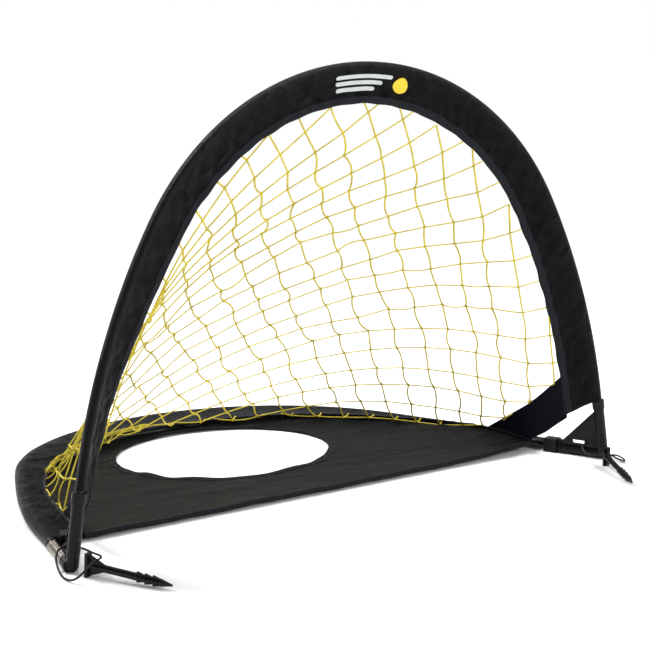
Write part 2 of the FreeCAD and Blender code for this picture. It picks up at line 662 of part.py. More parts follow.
def cord(name, points, radius):
    """Tube through the route's points: straight runs joined by the largest tangent arcs."""
    route = [Vector(*point) for point in points]
    edges, here, tightest = [], route[0], math.inf
    for before, point, after in zip(route, route[1:], route[2:]):
        towards, away = (before - point).normalize(), (after - point).normalize()
        half_turn = (math.pi - towards.getAngle(away)) / 2
        trim = 0.45 * min(point.distanceToPoint(before), point.distanceToPoint(after))
        bend = trim / math.tan(half_turn)
        tightest = min(tightest, bend)
        start, stop = point + towards * trim, point + away * trim
        apex = (towards + away).normalize()
        middle = point + apex * (bend / math.cos(half_turn) - bend)
        edges += [Part.LineSegment(here, start).toShape(), Part.Arc(start, middle, stop).toShape()]
        here = stop
    edges.append(Part.LineSegment(here, route[-1]).toShape())
    path = Part.Wire(edges)
    ring = Part.Wire(Part.makeCircle(radius, route[0], route[1] - route[0]))
    shape = path.makePipeShell([ring], True, False)
    expected = math.pi * radius**2 * path.Length
    share = shape.Volume / expected
    print(f"{name}: length {path.Length:.0f}, tightest radius {tightest:.1f}, volume {share:.4f}")
    return shaped(name, shape)


CORD_R = size("cord_dia") / 2
tether_left = cord("tether_left", TETHER_LEFT, CORD_R)
tether_right = cord("tether_right", TETHER_RIGHT, CORD_R)
knot_left = sphere("tether_knot_left", "dims.knot_dia / 2", Vector(*TETHER_LEFT[-1]))
knot_right = sphere("tether_knot_right", "dims.knot_dia / 2", Vector(*TETHER_RIGHT[-1]))

# ---------------------------------------------------------------- checks and export
NODES = [
    arch_pole, arch_sleeve, arch_tape, bracket_left, bracket_right, pin_left, pin_right,
    base_pole, base_sleeve, base_tape, cuff_left, cuff_right, spring_left, spring_right,
    floor_panel, hole_tape, front_tape, net_panel, gusset_left, gusset_right,
    peg_left, peg_right, tether_left, tether_right, knot_left, knot_right,
]
doc.recompute()
for obj in doc.Objects:
    if {"Invalid", "Error"} & set(obj.State):
        raise RuntimeError(f"{obj.Name} failed: {obj.State}")
for node in NODES:
    if node.Shape.isNull() or not node.Shape.isValid() or not node.Shape.Solids:
        raise RuntimeError(f"{node.Label} has no valid solid")
for node in NODES:
    node.Shape.exportStep(f"parts/{node.Label}.step")
print(f"{len(NODES)} nodes written")
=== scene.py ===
# %% [markdown]
# # A pop-up lawn goal
# Two sprung hoops share their feet. The arch stands and frames the goal mouth, the base lies on the
# ground behind it, and cloth sleeves, a floor panel and a knotted net close the pocket between them.
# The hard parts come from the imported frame. This lesson dresses them: sleeves, floor, net, gussets,
# springs and cords are worked out as arrays of points and put in the same place as the frame.

# %% Load the frame
import json
import math
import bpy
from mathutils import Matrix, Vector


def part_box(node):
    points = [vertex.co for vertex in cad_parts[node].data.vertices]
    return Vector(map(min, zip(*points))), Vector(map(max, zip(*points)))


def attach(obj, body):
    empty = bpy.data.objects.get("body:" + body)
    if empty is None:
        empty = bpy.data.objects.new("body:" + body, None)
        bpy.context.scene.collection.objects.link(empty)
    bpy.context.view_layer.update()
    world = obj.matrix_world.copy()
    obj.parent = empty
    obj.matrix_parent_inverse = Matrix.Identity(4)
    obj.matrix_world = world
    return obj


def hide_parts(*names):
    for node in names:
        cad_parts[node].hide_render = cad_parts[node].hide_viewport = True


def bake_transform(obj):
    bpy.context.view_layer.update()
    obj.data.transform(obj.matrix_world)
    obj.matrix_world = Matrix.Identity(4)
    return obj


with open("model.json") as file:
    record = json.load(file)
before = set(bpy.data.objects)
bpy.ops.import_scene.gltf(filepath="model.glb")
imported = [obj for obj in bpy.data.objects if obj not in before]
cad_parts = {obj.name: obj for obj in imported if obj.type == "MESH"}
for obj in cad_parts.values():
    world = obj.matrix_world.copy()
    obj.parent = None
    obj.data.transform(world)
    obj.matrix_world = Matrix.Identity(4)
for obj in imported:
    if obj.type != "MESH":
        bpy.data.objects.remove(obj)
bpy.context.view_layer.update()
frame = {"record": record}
from types import SimpleNamespace

import bpy
import numpy as np
from mathutils import Matrix

POST_Y = (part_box("arch_pole")[0][1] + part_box("arch_pole")[1][1]) / 2
BASE_Z = (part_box("base_pole")[0][2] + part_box("base_pole")[1][2]) / 2
rng = np.random.default_rng(7)
print("posts at y", round(POST_Y, 4), "base pole at z", round(BASE_Z, 4))

# %% [markdown]
# ## The bows
# A sprung pole held at both feet takes a smooth bow. Each hoop is drawn as a straight leg, a side arc,
# a crown arc and the same again mirrored. Every offset of such a bow shares its centres, so a point of
# the cloth is the pole's point plus the inward normal times a distance, which suits bands and hems.


# %% Bows as arrays
def ray(angle):
    """Unit vectors (cos a, sin a)."""
    return np.stack([np.cos(angle), np.sin(angle)], -1)


def lying(flat, height):
    """Frame places of plan points, which are measured from the posts, at the given heights."""
    return np.stack([flat[..., 0], POST_Y + flat[..., 1], height], -1)


def bow(span, toe, leg, reach, radius):
    """Centres and lengths of a symmetric two-arc bow with straight legs, from its five sizes."""
    toe = math.radians(toe)
    along, out = np.array([-math.sin(toe), math.cos(toe)]), np.array([math.cos(toe), math.sin(toe)])
    foot = np.array([span / 2, 0.0])
    side = foot + along * leg - out * radius
    drop = side[1] - reach
    crown_radius = (radius**2 - side[0] ** 2 - drop**2) / (2 * (drop + radius))
    crown = np.array([0.0, reach - crown_radius])
    shoulder = math.atan2(crown[1] - side[1], crown[0] - side[0])
    turn = leg + radius * (shoulder - toe)
    length = 2 * (turn + crown_radius * (math.pi / 2 - shoulder))
    return SimpleNamespace(**locals())


def walk(b, s):
    """Points of a bow at lengths s from its right foot, and its inward normals there."""
    s = np.asarray(s, float)
    m = np.minimum(s, b.length - s)
    on_crown = (m > b.turn)[..., None]
    angle = np.where(m > b.turn, b.shoulder + (m - b.turn) / b.crown_radius,
                     b.toe + np.maximum(m - b.leg, 0) / b.radius)
    out = ray(angle)
    point = np.where(on_crown, b.crown + out * b.crown_radius, b.side + out * b.radius)
    point = np.where((m < b.leg)[..., None], b.foot + b.along * m[..., None], point)
    flip = np.stack([np.where(s <= b.length / 2, 1.0, -1.0), np.ones_like(s)], -1)
    return point * flip, -out * flip


ARCH = bow(1.216, 8.8, 0.131, 0.814, 1.257)
BASE = bow(1.224, 10.0, 0.136, 0.910, 2.490)
SEAM = bow(1.080, 6.0, 0.136, 0.775, 2.450)
print("pole lengths", round(ARCH.length, 3), round(BASE.length, 3), "net seam", round(SEAM.length, 3))

# %% [markdown]
# ## Meshes from arrays
# A surface is a grid of points over two parameters. The same index arithmetic turns any grid into
# quads, closed round one parameter where the shape is a tube, with flat caps on its open ends. The UV
# map is in metres along the cloth, so that a weave keeps its true thread size everywhere.


# %% Grid to mesh
def grid_faces(rows, columns, wrap):
    """Corner numbers of the quads of a rows by columns grid, and their places in an unwrapped grid."""
    i, j = np.meshgrid(np.arange(rows - 1), np.arange(columns if wrap else columns - 1), indexing="ij")
    corners = np.stack([np.stack([i, j], -1), np.stack([i, j + 1], -1),
                        np.stack([i + 1, j + 1], -1), np.stack([i + 1, j], -1)], -2).reshape(-1, 4, 2)
    return corners[..., 0] * columns + corners[..., 1] % columns, corners


def linked(name, data):
    """Object of some data, in the scene."""
    thing = bpy.data.objects.new(name, data)
    bpy.context.scene.collection.objects.link(thing)
    return thing


def put(name, points, faces, uvs):
    """Mesh object from a point array and a list of face arrays, with UVs per corner."""
    mesh = bpy.data.meshes.new(name)
    mesh.from_pydata(np.asarray(points, float).tolist(), [], [f for group in faces for f in group.tolist()])
    layer = mesh.uv_layers.new(name="cloth")
    layer.data.foreach_set("uv", np.concatenate([np.asarray(u, float).ravel() for u in uvs]))
    mesh.polygons.foreach_set("use_smooth", np.full(len(mesh.polygons), True))
    mesh.update()
    return linked(name, mesh)


def thicken(thing, thickness):
    """Gives a one-layer sheet its thickness, half to each side."""
    wall = thing.modifiers.new("thickness", "SOLIDIFY")
    wall.thickness, wall.offset = thickness, 0
    return thing


def volume(points, faces):
    """Signed volume of closed faces: a sixth of the sum of a dot (b cross c) over their triangles."""
    total = 0.0
    for group in faces:
        for k in range(1, group.shape[1] - 1):
            a, b, c = points[group[:, 0]], points[group[:, k]], points[group[:, k + 1]]
            total += (a * np.cross(b, c)).sum() / 6
    return total


def run_of(line):
    """Length along a line of points, up to each of them."""
    return np.concatenate([[0], np.linalg.norm(np.diff(line, axis=0), axis=1).cumsum()])


def skin(grid, wrap=True, caps=True):
    """Points, faces and UVs of one grid surface, closed round its columns and capped at its ends."""
    rows, columns = grid.shape[:2]
    points = grid.reshape(-1, 3)
    quads, cells = grid_faces(rows, columns, wrap)
    ring = np.concatenate([grid, grid[:, :1]], 1) if wrap else grid
    uv = np.stack(np.broadcast_arrays(run_of(grid.mean(1))[:, None], run_of(ring[rows // 2])[None, :]), -1)
    faces, uvs = [quads], [uv[cells[..., 0], cells[..., 1]]]
    if wrap and caps:
        for row, order in ((0, slice(None, None, -1)), (rows - 1, slice(None))):
            ring = (row * columns + np.arange(columns))[order]
            faces.append(ring[None, :])
            uvs.append(uv[row, :columns][order][None])
    if wrap and caps and volume(points, faces) < 0:
        faces, uvs = [f[:, ::-1] for f in faces], [u[:, ::-1] for u in uvs]
    return points, faces, uvs


def joined(parts):
    """One set of points, faces and UVs from several."""
    points, faces, uvs, count = [], [], [], 0
    for p, f, u in parts:
        points.append(p)
        faces += [g + count for g in f]
        uvs += u
        count += len(p)
    return np.concatenate(points), faces, uvs


def tubes(paths, radius, sides=6, up=(0.0, 0.0, 1.0)):
    """Round tubes along many paths at once: each ring is centre + r (side cos a + over sin a)."""
    paths = np.asarray(paths, float)
    count, steps = paths.shape[:2]
    tangent = np.gradient(paths, axis=1)
    tangent /= np.maximum(np.linalg.norm(tangent, axis=-1, keepdims=True), 1e-12)
    side = np.cross(tangent, np.asarray(up, float))
    weak = np.linalg.norm(side, axis=-1, keepdims=True) < 0.15
    side = np.where(weak, np.cross(tangent, np.array([1.0, 0.3, 0.0])), side)
    side /= np.linalg.norm(side, axis=-1, keepdims=True)
    over = np.cross(side, tangent)
    angle = np.linspace(0, 2 * np.pi, sides, endpoint=False)[:, None]
    radius = np.broadcast_to(np.asarray(radius, float), (count, steps))[..., None, None]
    rings = paths[:, :, None] + radius * (side[:, :, None] * np.cos(angle) + over[:, :, None] * np.sin(angle))
    start = (np.arange(count) * steps * sides)[:, None, None]
    quads, cells = grid_faces(steps, sides, True)
    faces = (quads[None] + start).reshape(-1, 4)
    along = np.linalg.norm(np.diff(paths, axis=1, prepend=paths[:, :1]), axis=-1).cumsum(1)
    uv = np.stack([along[:, cells[..., 0]],
                   np.broadcast_to(cells[..., 1] / sides, (count, *cells.shape[:2]))], -1).reshape(-1, 4, 2)
    ring = np.arange(sides)
    low = start[:, 0] + ring
    high = low + (steps - 1) * sides
    cap_uv = np.zeros((count, sides, 2))
    groups, uvs = [faces, low[:, ::-1], high], [uv, cap_uv, cap_uv]
    points = rings.reshape(-1, 3)
    if volume(points, groups) < 0:
        groups, uvs = [g[:, ::-1] for g in groups], [u[:, ::-1] for u in uvs]
    return points, groups, uvs


def blobs(centres, radii, rings=4, sides=6):
    """Small round knots: squashed spheres of a few faces each, closed at both poles."""
    polar = np.linspace(0, np.pi, rings + 1)[1:-1, None]
    angle = np.linspace(0, 2 * np.pi, sides, endpoint=False)
    unit = np.stack(np.broadcast_arrays(np.sin(polar) * np.cos(angle), np.sin(polar) * np.sin(angle),
                                        np.cos(polar)), -1).reshape(-1, 3)
    unit = np.concatenate([unit, [[0, 0, 1], [0, 0, -1]]])
    points = (centres[:, None] + np.array(radii) * unit).reshape(-1, 3)
    quads, _ = grid_faces(rings - 1, sides, True)
    ring, last, top = np.arange(sides), (rings - 2) * sides, (rings - 1) * sides
    tips = np.concatenate([np.stack([np.full(sides, top), ring, (ring + 1) % sides], -1),
                           np.stack([np.full(sides, top + 1), last + (ring + 1) % sides, last + ring], -1)])
    start = (np.arange(len(centres)) * len(unit))[:, None, None]
    groups = [(quads[:, ::-1][None] + start).reshape(-1, 4), (tips[None] + start).reshape(-1, 3)]
    if volume(points, groups) < 0:
        groups = [g[:, ::-1] for g in groups]
    return points, groups, [np.zeros((len(g), g.shape[1], 2)) for g in groups]


print("mesh helpers ready")

# %% [markdown]
# ## Shader sums
# A material is a sum of simple patterns. Wrapping a socket in a small class lets the sum be written as
# it would be on paper, and one method adds any other node.


# %% Sockets that add up
class Wire:
    """A node's output that can be added to, scaled and so on, each step being one Math node."""

    def __init__(self, paint, socket):
        self.paint, self.socket = paint, socket

    def maths(self, operation, *values):
        """One Math node over wires or numbers."""
        return self.paint.add("ShaderNodeMath", {"operation": operation}, dict(enumerate(values)))

    def __add__(self, other):
        return self.maths("ADD", self, other)

    def __sub__(self, other):
        return self.maths("SUBTRACT", self, other)

    def __rsub__(self, other):
        return self.maths("SUBTRACT", other, self)

    def __mul__(self, other):
        return self.maths("MULTIPLY", self, other)

    def __pow__(self, other):
        return self.maths("POWER", self, other)

    __radd__, __rmul__ = __add__, __mul__

    def sine(self):
        return self.maths("SINE", self)

    def size(self):
        return self.maths("ABSOLUTE", self)

    def axis(self, number):
        """One coordinate of a place: 0, 1 or 2 for x, y or z."""
        return self.paint.add("ShaderNodeSeparateXYZ", {}, {0: self}, number)

    def step(self, low, high):
        """0 below low, 1 above high, smooth between."""
        return self.paint.add("ShaderNodeMapRange", {"interpolation_type": "SMOOTHSTEP"},
                              {"Value": self, "From Min": low, "From Max": high})


class Paint:
    """One procedural material, or the world, and the method that adds its nodes."""

    def __init__(self, name, kind="materials"):
        self.material = getattr(bpy.data, kind).new(name)
        self.material.use_nodes = True
        self.tree = self.material.node_tree
        self.tree.nodes.clear()

    def add(self, kind, settings, values, output=0):
        """Any node: its type, its settings, its inputs as constants or wires, and the output wanted."""
        node = self.tree.nodes.new(kind)
        for key, value in settings.items():
            setattr(node, key, value)
        for key, value in values.items():
            if isinstance(value, Wire):
                self.tree.links.new(value.socket, node.inputs[key])
            else:
                node.inputs[key].default_value = value
        return Wire(self, node.outputs[output]) if len(node.outputs) else None

    def place(self, kind="Object"):
        """Coordinates of the surface: its own metres, or its UV map."""
        return self.add("ShaderNodeTexCoord", {}, {}, kind)

    def mix(self, share, low, high):
        """Colour between two colours by a share."""
        return self.add("ShaderNodeMix", {"data_type": "RGBA"}, {0: share, 6: (*low, 1), 7: (*high, 1)}, 2)

    def noise(self, place, scale, detail=2.0, rough=0.5):
        """Noise of 0 to 1 at a place, with scale blotches to the metre."""
        return self.add("ShaderNodeTexNoise", {}, {"Vector": place, "Scale": scale, "Detail": detail,
                                                   "Roughness": rough})

    def finish(self, values, height=None, strength=0.5, distance=0.0005):
        """Surface shader from its input values, with a bump from a height pattern of a depth in metres."""
        if height is not None:
            values = {**values, "Normal": self.add(
                "ShaderNodeBump", {}, {"Height": height, "Strength": strength, "Distance": distance})}
        surface = self.add("ShaderNodeBsdfPrincipled", {}, values)
        self.add("ShaderNodeOutputMaterial", {}, {"Surface": surface})
        return self.material


print("shader helpers ready")

# %% [markdown]
# ## Finishes
# The sleeves are woven polyester with a soft sheen, so threads run both ways at half a millimetre and
# the light catches long soft creases; their crests are also painted lighter, a painted sheen. The net is
# twisted twine. The brackets and pegs are moulded with a fine texture and pick up dust and scuffs low down.


# %% Woven cloth
def woven(name, dark, light, rough, crease, depth, gloss, thread=0.0009, lean=1.0):
    """Plain weave: sine ridges both ways over the cloth's own UV, with creases from stretched noise whose
    crests are painted lighter, a painted sheen.
    """
    paint = Paint(name)
    uv, place = paint.place("UV"), paint.place()
    warp, weft = [(uv.axis(number) * (2 * math.pi / thread)).sine() for number in (0, 1)]
    weave = warp * weft
    stretched = paint.add("ShaderNodeMapping", {}, {"Vector": place, "Scale": (1.0, lean, 1.0)})
    folds = paint.noise(stretched, crease, 3.0, 0.55)
    mottle = paint.noise(place, 7.0, 4.0, 0.6)
    lint = paint.noise(place, 900.0, 2.0, 0.7).step(0.66, 0.8)
    sharp = (1 - (paint.noise(stretched, crease * 0.9, 2.0, 0.45) * 2 - 1).size()) ** 9
    sharp = sharp * paint.noise(place, 5.0, 1.0).step(0.40, 0.56)
    # The fold noise in the colour paints the crests of the creases lighter, a painted sheen on top of the
    # bump.
    share = mottle * 0.6 + folds * 0.35 + weave * 0.12 + lint * 0.25
    colour = paint.mix(share.step(0.15, 0.95), dark, light)
    return paint.finish(
        {"Base Color": colour, "Roughness": mottle * 0.30 + (rough - 0.15) + weave * 0.05,
         "Sheen Weight": 0.01, "Sheen Roughness": 0.35, "Specular IOR Level": gloss},
        weave * 0.08 + folds * 1.0 + sharp * 1.6, 1.0, depth)


SLEEVE_CLOTH = woven("sleeve_cloth", (0.0015, 0.0016, 0.0024), (0.0055, 0.0058, 0.0078), rough=0.34,
                     crease=15.0, depth=0.0070, gloss=0.14)
FLOOR_CLOTH = woven("floor_cloth", (0.0022, 0.0023, 0.0029), (0.0072, 0.0073, 0.0084), rough=0.40,
                    crease=8.0, depth=0.0075, gloss=0.14, lean=2.6)
GUSSET_CLOTH = woven("gusset_cloth", (0.0016, 0.0020, 0.0058), (0.0040, 0.0048, 0.0110), rough=0.72,
                     crease=12.0, depth=0.0012, gloss=0.08, thread=0.0014)


# %% Ribbed tape
def ribbed(name, dark, light, rib=0.0016, rough=0.62):
    """Binding tape: ribs across its length, 1.6 mm apart, over a fine grain."""
    paint = Paint(name)
    uv, place = paint.place("UV"), paint.place()
    ribs = (uv.axis(0) * (2 * math.pi / rib)).sine()
    edges = (uv.axis(1) * (2 * math.pi / (rib * 2))).sine()
    mottle = paint.noise(place, 40.0, 4.0, 0.6)
    colour = paint.mix((mottle + ribs * 0.15).step(0.2, 0.9), dark, light)
    return paint.finish({"Base Color": colour, "Roughness": mottle * 0.2 + (rough - 0.1),
                         "Sheen Weight": 0.02, "Specular IOR Level": 0.15},
                        ribs * 0.5 + edges * 0.2 + mottle * 0.4, 0.5, 0.0004)


HEM_TAPE = ribbed("hem_tape", (0.0014, 0.0017, 0.0038), (0.0050, 0.0056, 0.0095))


# %% Twine, thread and cord
def twisted(name, dark, light, turns, rough, crossed=False):
    """Laid strands: ridges that climb round the cord as they run along it."""
    paint = Paint(name)
    uv, place = paint.place("UV"), paint.place()
    run, around = uv.axis(0) * turns, uv.axis(1) * (4 * math.pi)
    lay = (run + around).sine()
    if crossed:
        lay = lay * (run - around).sine()
    patches, fuzz = paint.noise(place, 26.0, 3.0, 0.6), paint.noise(place, 1500.0, 2.0, 0.6)
    share = (lay * 0.22 + patches * 0.9 + fuzz * 0.25).step(0.2, 0.9)
    return paint.finish({"Base Color": paint.mix(share, dark, light), "Roughness": fuzz * 0.2 + (rough - 0.1),
                         "Sheen Weight": 0.04, "Specular IOR Level": 0.2},
                        lay * 0.6 + fuzz * 0.3, 0.6, 0.0004)


NET_TWINE = twisted("net_twine", (0.36, 0.27, 0.012), (0.68, 0.57, 0.045), 2 * math.pi / 0.0045, 0.55)
SEWING_THREAD = twisted("sewing_thread", (0.010, 0.011, 0.014), (0.040, 0.041, 0.048),
                        2 * math.pi / 0.0008, 0.5)
TETHER_CORD = twisted("tether_cord", (0.002, 0.002, 0.003), (0.012, 0.012, 0.014),
                      2 * math.pi / 0.004, 0.6, crossed=True)


# %% Moulded, drawn and plated finishes
def moulded(name, dark, light, rough=0.42):
    """Moulded plastic: fine spark-eroded grain, soft scuffs, and dust near the ground."""
    paint = Paint(name)
    place = paint.place()
    grain, cloud = paint.noise(place, 1400.0, 2.0, 0.5), paint.noise(place, 30.0, 4.0, 0.6)
    scuffs = paint.noise(paint.add("ShaderNodeMapping", {}, {"Vector": place, "Scale": (1.0, 4.0, 7.0)}),
                         90.0, 4.0, 0.7).step(0.60, 0.74)
    dust = (1 - place.axis(2).step(0.0, 0.03)) * cloud.step(0.4, 0.7)
    share = cloud * 0.5 + scuffs * 0.45 + dust * 0.5
    return paint.finish({"Base Color": paint.mix(share.step(0.1, 1.1), dark, light),
                         "Roughness": cloud * 0.18 + scuffs * 0.15 + (rough - 0.09),
                         "Specular IOR Level": 0.2},
                        grain * 0.5 + scuffs * 0.3, 0.35, 0.0003)


def drawn(name, dark, light, metallic, rough, scale):
    """Pulled rod or plated wire: fine streaks and faint blotches."""
    paint = Paint(name)
    place = paint.place()
    streaks, blotches = paint.noise(place, scale, 3.0, 0.6), paint.noise(place, 60.0, 3.0, 0.6)
    share = (streaks * 0.5 + blotches * 0.6).step(0.2, 0.9)
    return paint.finish({"Base Color": paint.mix(share, dark, light), "Metallic": metallic,
                         "Roughness": blotches * 0.22 + (rough - 0.1)}, streaks, 0.25, 0.0002)


BRACKET_PLASTIC = moulded("bracket_plastic", (0.0015, 0.0016, 0.0024), (0.0100, 0.0102, 0.0120))
PEG_PLASTIC = moulded("peg_plastic", (0.0030, 0.0032, 0.0040), (0.018, 0.018, 0.021), 0.44)
POLE_FIBREGLASS = drawn("pole_fibreglass", (0.010, 0.010, 0.012), (0.04, 0.04, 0.044), 0.0, 0.35, 220.0)
SPRING_STEEL = drawn("spring_steel", (0.20, 0.18, 0.15), (0.46, 0.43, 0.38), 1.0, 0.34, 420.0)


def coat(name, material):
    """Gives a frame node its finish on every material slot."""
    thing = bpy.data.objects[name]
    if not thing.material_slots:
        thing.data.materials.append(material)
    for entry in thing.material_slots:
        entry.material = material


def dress(thing, material, body, slot, *nodes):
    """A new piece gets its finish and its body, and the frame nodes it stands for are hidden. The slot is not
    used.
    """
    thing.data.materials.append(material)
    if body:
        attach(thing, body)
    if nodes:
        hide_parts(*nodes)
    print(f"{thing.name}: {len(thing.data.polygons) if thing.type == 'MESH' else 1} faces")
    return thing


for node in ("arch_pole", "base_pole"):
    coat(node, POLE_FIBREGLASS)
for side in ("left", "right"):
    for node, material in (("bracket", BRACKET_PLASTIC), ("base_cuff", BRACKET_PLASTIC),
                           ("spring_pin", SPRING_STEEL), ("peg", PEG_PLASTIC)):
        coat(f"{node}_{side}", material)
print("frame nodes finished")

# %% [markdown]
# ## The arch sleeve
# The sleeve is one strip of cloth folded over the pole and sewn flat below it, so it wraps a rod at its
# outer edge and is a thin doubled band at its hem. The net pulls the hem back, which turns the band
# about the pole, and the cloth ripples across its width. A closed thin profile carried along the bow
# gives all of that in one surface.


# %% Ripples and the sleeve's surface
def ripples(s, d, lengths, slants, seed, phase=0.0):
    """Sum of sines along s, each slanted by d, of the given wavelengths."""
    shift = np.random.default_rng(seed).uniform(0, 2 * np.pi, len(lengths))
    waves = [np.sin(2 * np.pi * (s + slant * d) / length + at + phase)
             for length, slant, at in zip(lengths, slants, shift)]
    return sum(waves) / len(lengths)


def arch_turn(s):
    """Angle by which the net turns the band about the pole, larger low on the left."""
    left = np.exp(-(((ARCH.length - s) - 0.13) / 0.30) ** 2)
    right = np.exp(-((s - 0.13) / 0.22) ** 2)
    return np.radians(14 + 34 * left + 3 * right)


ARCH_BAND, ARCH_WRAP, CLOTH_HALF = 0.074, 0.0083, 0.0013
ARCH_ENDS = (ARCH.leg + 0.003, ARCH.length - ARCH.leg - 0.003)


def band_width(s):
    """Width of the band against its nominal one: narrow over the crown, widest low on the right."""
    return np.interp(s / ARCH.length, (0.05, 0.20, 0.38, 0.50, 0.64, 0.85),
                     (1.07, 1.04, 0.96, 0.89, 0.93, 0.97))


def on_arch(s, d, y):
    """Place at length s along the arch pole, d inward in the band and y through the cloth."""
    share = np.clip(d / ARCH_BAND, 0, 1.2)
    d = np.where(d > 0, d * band_width(s), d)
    low = np.exp(-((s - ARCH_ENDS[0]) / 0.05) ** 2) - np.exp(-((s - ARCH_ENDS[1]) / 0.05) ** 2)
    centre, inward = walk(ARCH, s - 0.018 * share * low)
    turn = arch_turn(s)
    wave = share**1.3 * 0.0026 * ripples(s, d, (0.31, 0.17, 0.095, 0.060), (0.5, -0.8, 0.9, -0.4), 3)
    wave = wave + share * (1 - share) * 0.013 * ripples(s, d, (0.083, 0.052, 0.033), (1.1, -1.4, 0.8), 5)
    scallop = share**3 * 0.0005 * np.cos(2 * np.pi * s / 0.066)
    across = d * np.cos(turn) - y * np.sin(turn) - scallop
    back = d * np.sin(turn) + y * np.cos(turn) + wave
    flat = centre + inward * across[..., None]
    return np.stack([flat[..., 0], POST_Y + back, flat[..., 1]], -1)


def teardrop(r, width, steps, fall=0.020, half=CLOTH_HALF):
    """Distances inward and half thicknesses of a strip wrapped on a rod: round outside, thin at hem."""
    d = -r + (width + r) * (1 - np.cos(np.linspace(0, np.pi, steps + 1))) / 2
    h = half + (r - half) * np.exp(-((np.maximum(d, 0) / fall) ** 2))
    h = np.where(d < 0, np.sqrt(np.maximum(r**2 - d**2, 0)), h)
    edge = np.clip((d - (width - 2 * half)) / (2 * half), 0, 1)
    return d, h * np.sqrt(1 - edge**2)


def spread(place, s, d, y):
    """Grid of a place function: rows along s, columns across d and y."""
    return place(s[:, None] + 0 * d, d + 0 * s[:, None], y + 0 * s[:, None])


def loop(d, h):
    """Profile round a strip: front layer from the outer edge to the hem, back layer home again."""
    return np.concatenate([d, d[-2:0:-1]]), np.concatenate([-h, h[-2:0:-1]])


def strip(place, s, d, h):
    """Closed strip: its profile carried along s, with a cap on each end."""
    return skin(spread(place, s, *loop(d, h)))


def front_of(d):
    """Half thickness of the arch sleeve at a distance inward."""
    return np.interp(d, *teardrop(ARCH_WRAP, ARCH_BAND, 26))


d, h = teardrop(ARCH_WRAP, ARCH_BAND, 26)
s = np.linspace(*ARCH_ENDS, 620)
arch_cloth = put("arch_sleeve_cloth", *strip(on_arch, s, d, h))
dress(arch_cloth, SLEEVE_CLOTH, "arch", "sleeve_cloth", "arch_sleeve")


# %% The arch hem's binding and its stitches
def rounded_strip(low, high, half, steps):
    """Distances and half thicknesses of a flat strip with round edges."""
    d = low + (high - low) * (1 - np.cos(np.linspace(0, np.pi, steps + 1))) / 2
    edge = np.abs(2 * (d - low) / (high - low) - 1)
    return d, half * (1 - edge**6) ** 0.5


d, h = rounded_strip(ARCH_BAND - 0.015, ARCH_BAND + 0.0018, 0.0024, 10)
s = np.linspace(ARCH_ENDS[0] + 0.001, ARCH_ENDS[1] - 0.001, 620)
arch_hem = put("arch_hem_binding", *strip(on_arch, s, d, h))
dress(arch_hem, HEM_TAPE, "arch", "binding_tape", "arch_hem_tape")


def stitches(place, s, d, y, length=0.0032, pitch=0.0045, radius=0.00032):
    """A row of short threads lying on the cloth, each a small tube that dips in at both ends."""
    at = np.arange(s[0], s[1], pitch)[:, None] + np.linspace(0, length, 4)
    rise = y + np.sign(y) * np.array([-0.0004, 0.0003, 0.0003, -0.0004])
    return tubes(place(at, np.full_like(at, d), np.broadcast_to(rise, at.shape)), radius, 4)


def sewn(name, rows, body, slot):
    """One piece from several rows of stitches."""
    dress(put(name, *joined(rows)), SEWING_THREAD, body, slot)


sewn("arch_stitching", [stitches(on_arch, (ARCH_ENDS[0] + 0.004, ARCH_ENDS[1] - 0.004), at, side)
                        for at, side in ((ARCH_BAND - 0.0125, -0.0024), (ARCH_BAND - 0.004, -0.0024),
                                         (ARCH_BAND - 0.0125, 0.0024), (0.0165, -0.0045))],
     "arch", "sleeve_cloth")

# %% [markdown]
# ## A plain printed mark
# The crown carries a print on its front. Here it is three plain bars and a dot, which stand for no
# maker. Each is a thin patch laid on the front layer of the sleeve, so it follows the cloth's ripples.


# %% The print at the crown
def printed(name, colour, worn):
    """Screen print: flat ink that cracks a little along the threads."""
    paint = Paint(name)
    place = paint.place()
    cracks = paint.noise(place, 420.0, 4.0, 0.7).step(0.60, 0.72)
    cloud = paint.noise(place, 35.0, 3.0)
    return paint.finish({"Base Color": paint.mix(cracks * 0.35 + cloud * 0.15, colour, worn),
                         "Roughness": cloud * 0.15 + 0.45}, cracks, 0.2, 0.0002)


def bar(name, centre, middle, length, radius):
    """Round-ended bar on the sleeve's front: half height r, or the end circle's height near the ends."""
    x = length / 2 * np.sin(np.linspace(-np.pi / 2, np.pi / 2, 60))
    over = np.maximum(np.abs(x) - (length / 2 - radius), 0)
    half = np.sqrt(np.maximum(radius**2 - over**2, 1e-9))
    v = np.linspace(-1, 1, 11)
    s, d = centre + x[:, None] + 0 * v, middle + half[:, None] * v
    return thicken(put(name, *skin(on_arch(s, d, -front_of(d) - 0.0004), wrap=False, caps=False)), 0.0003)


PALE_INK = printed("pale_ink", (0.46, 0.49, 0.49), (0.2, 0.2, 0.2))
YELLOW_INK = printed("yellow_ink", (0.68, 0.50, 0.010), (0.3, 0.2, 0.02))
crown = ARCH.length / 2
for number, (shift, middle, length) in enumerate(((0.012, 0.019, 0.128), (0.022, 0.032, 0.110),
                                                  (0.032, 0.045, 0.092))):
    piece = bar(f"crown_bar_{number + 1}", crown + shift, middle, length, 0.0042)
    dress(piece, PALE_INK, "arch", "sleeve_cloth")
dress(bar("crown_dot", crown - 0.076, 0.032, 0.033, 0.0165), YELLOW_INK, "arch", "sleeve_cloth")

# %% [markdown]
# ## The base sleeve
# The base sleeve lies on the ground: a tube round the base pole and a wide doubled band in to the seam
# where net and floor meet. The band is wider behind than at the sides, and the net lifts the seam behind
# the right foot. Its cloth is gathered by the net, so ripples run across it and die out at the pole.

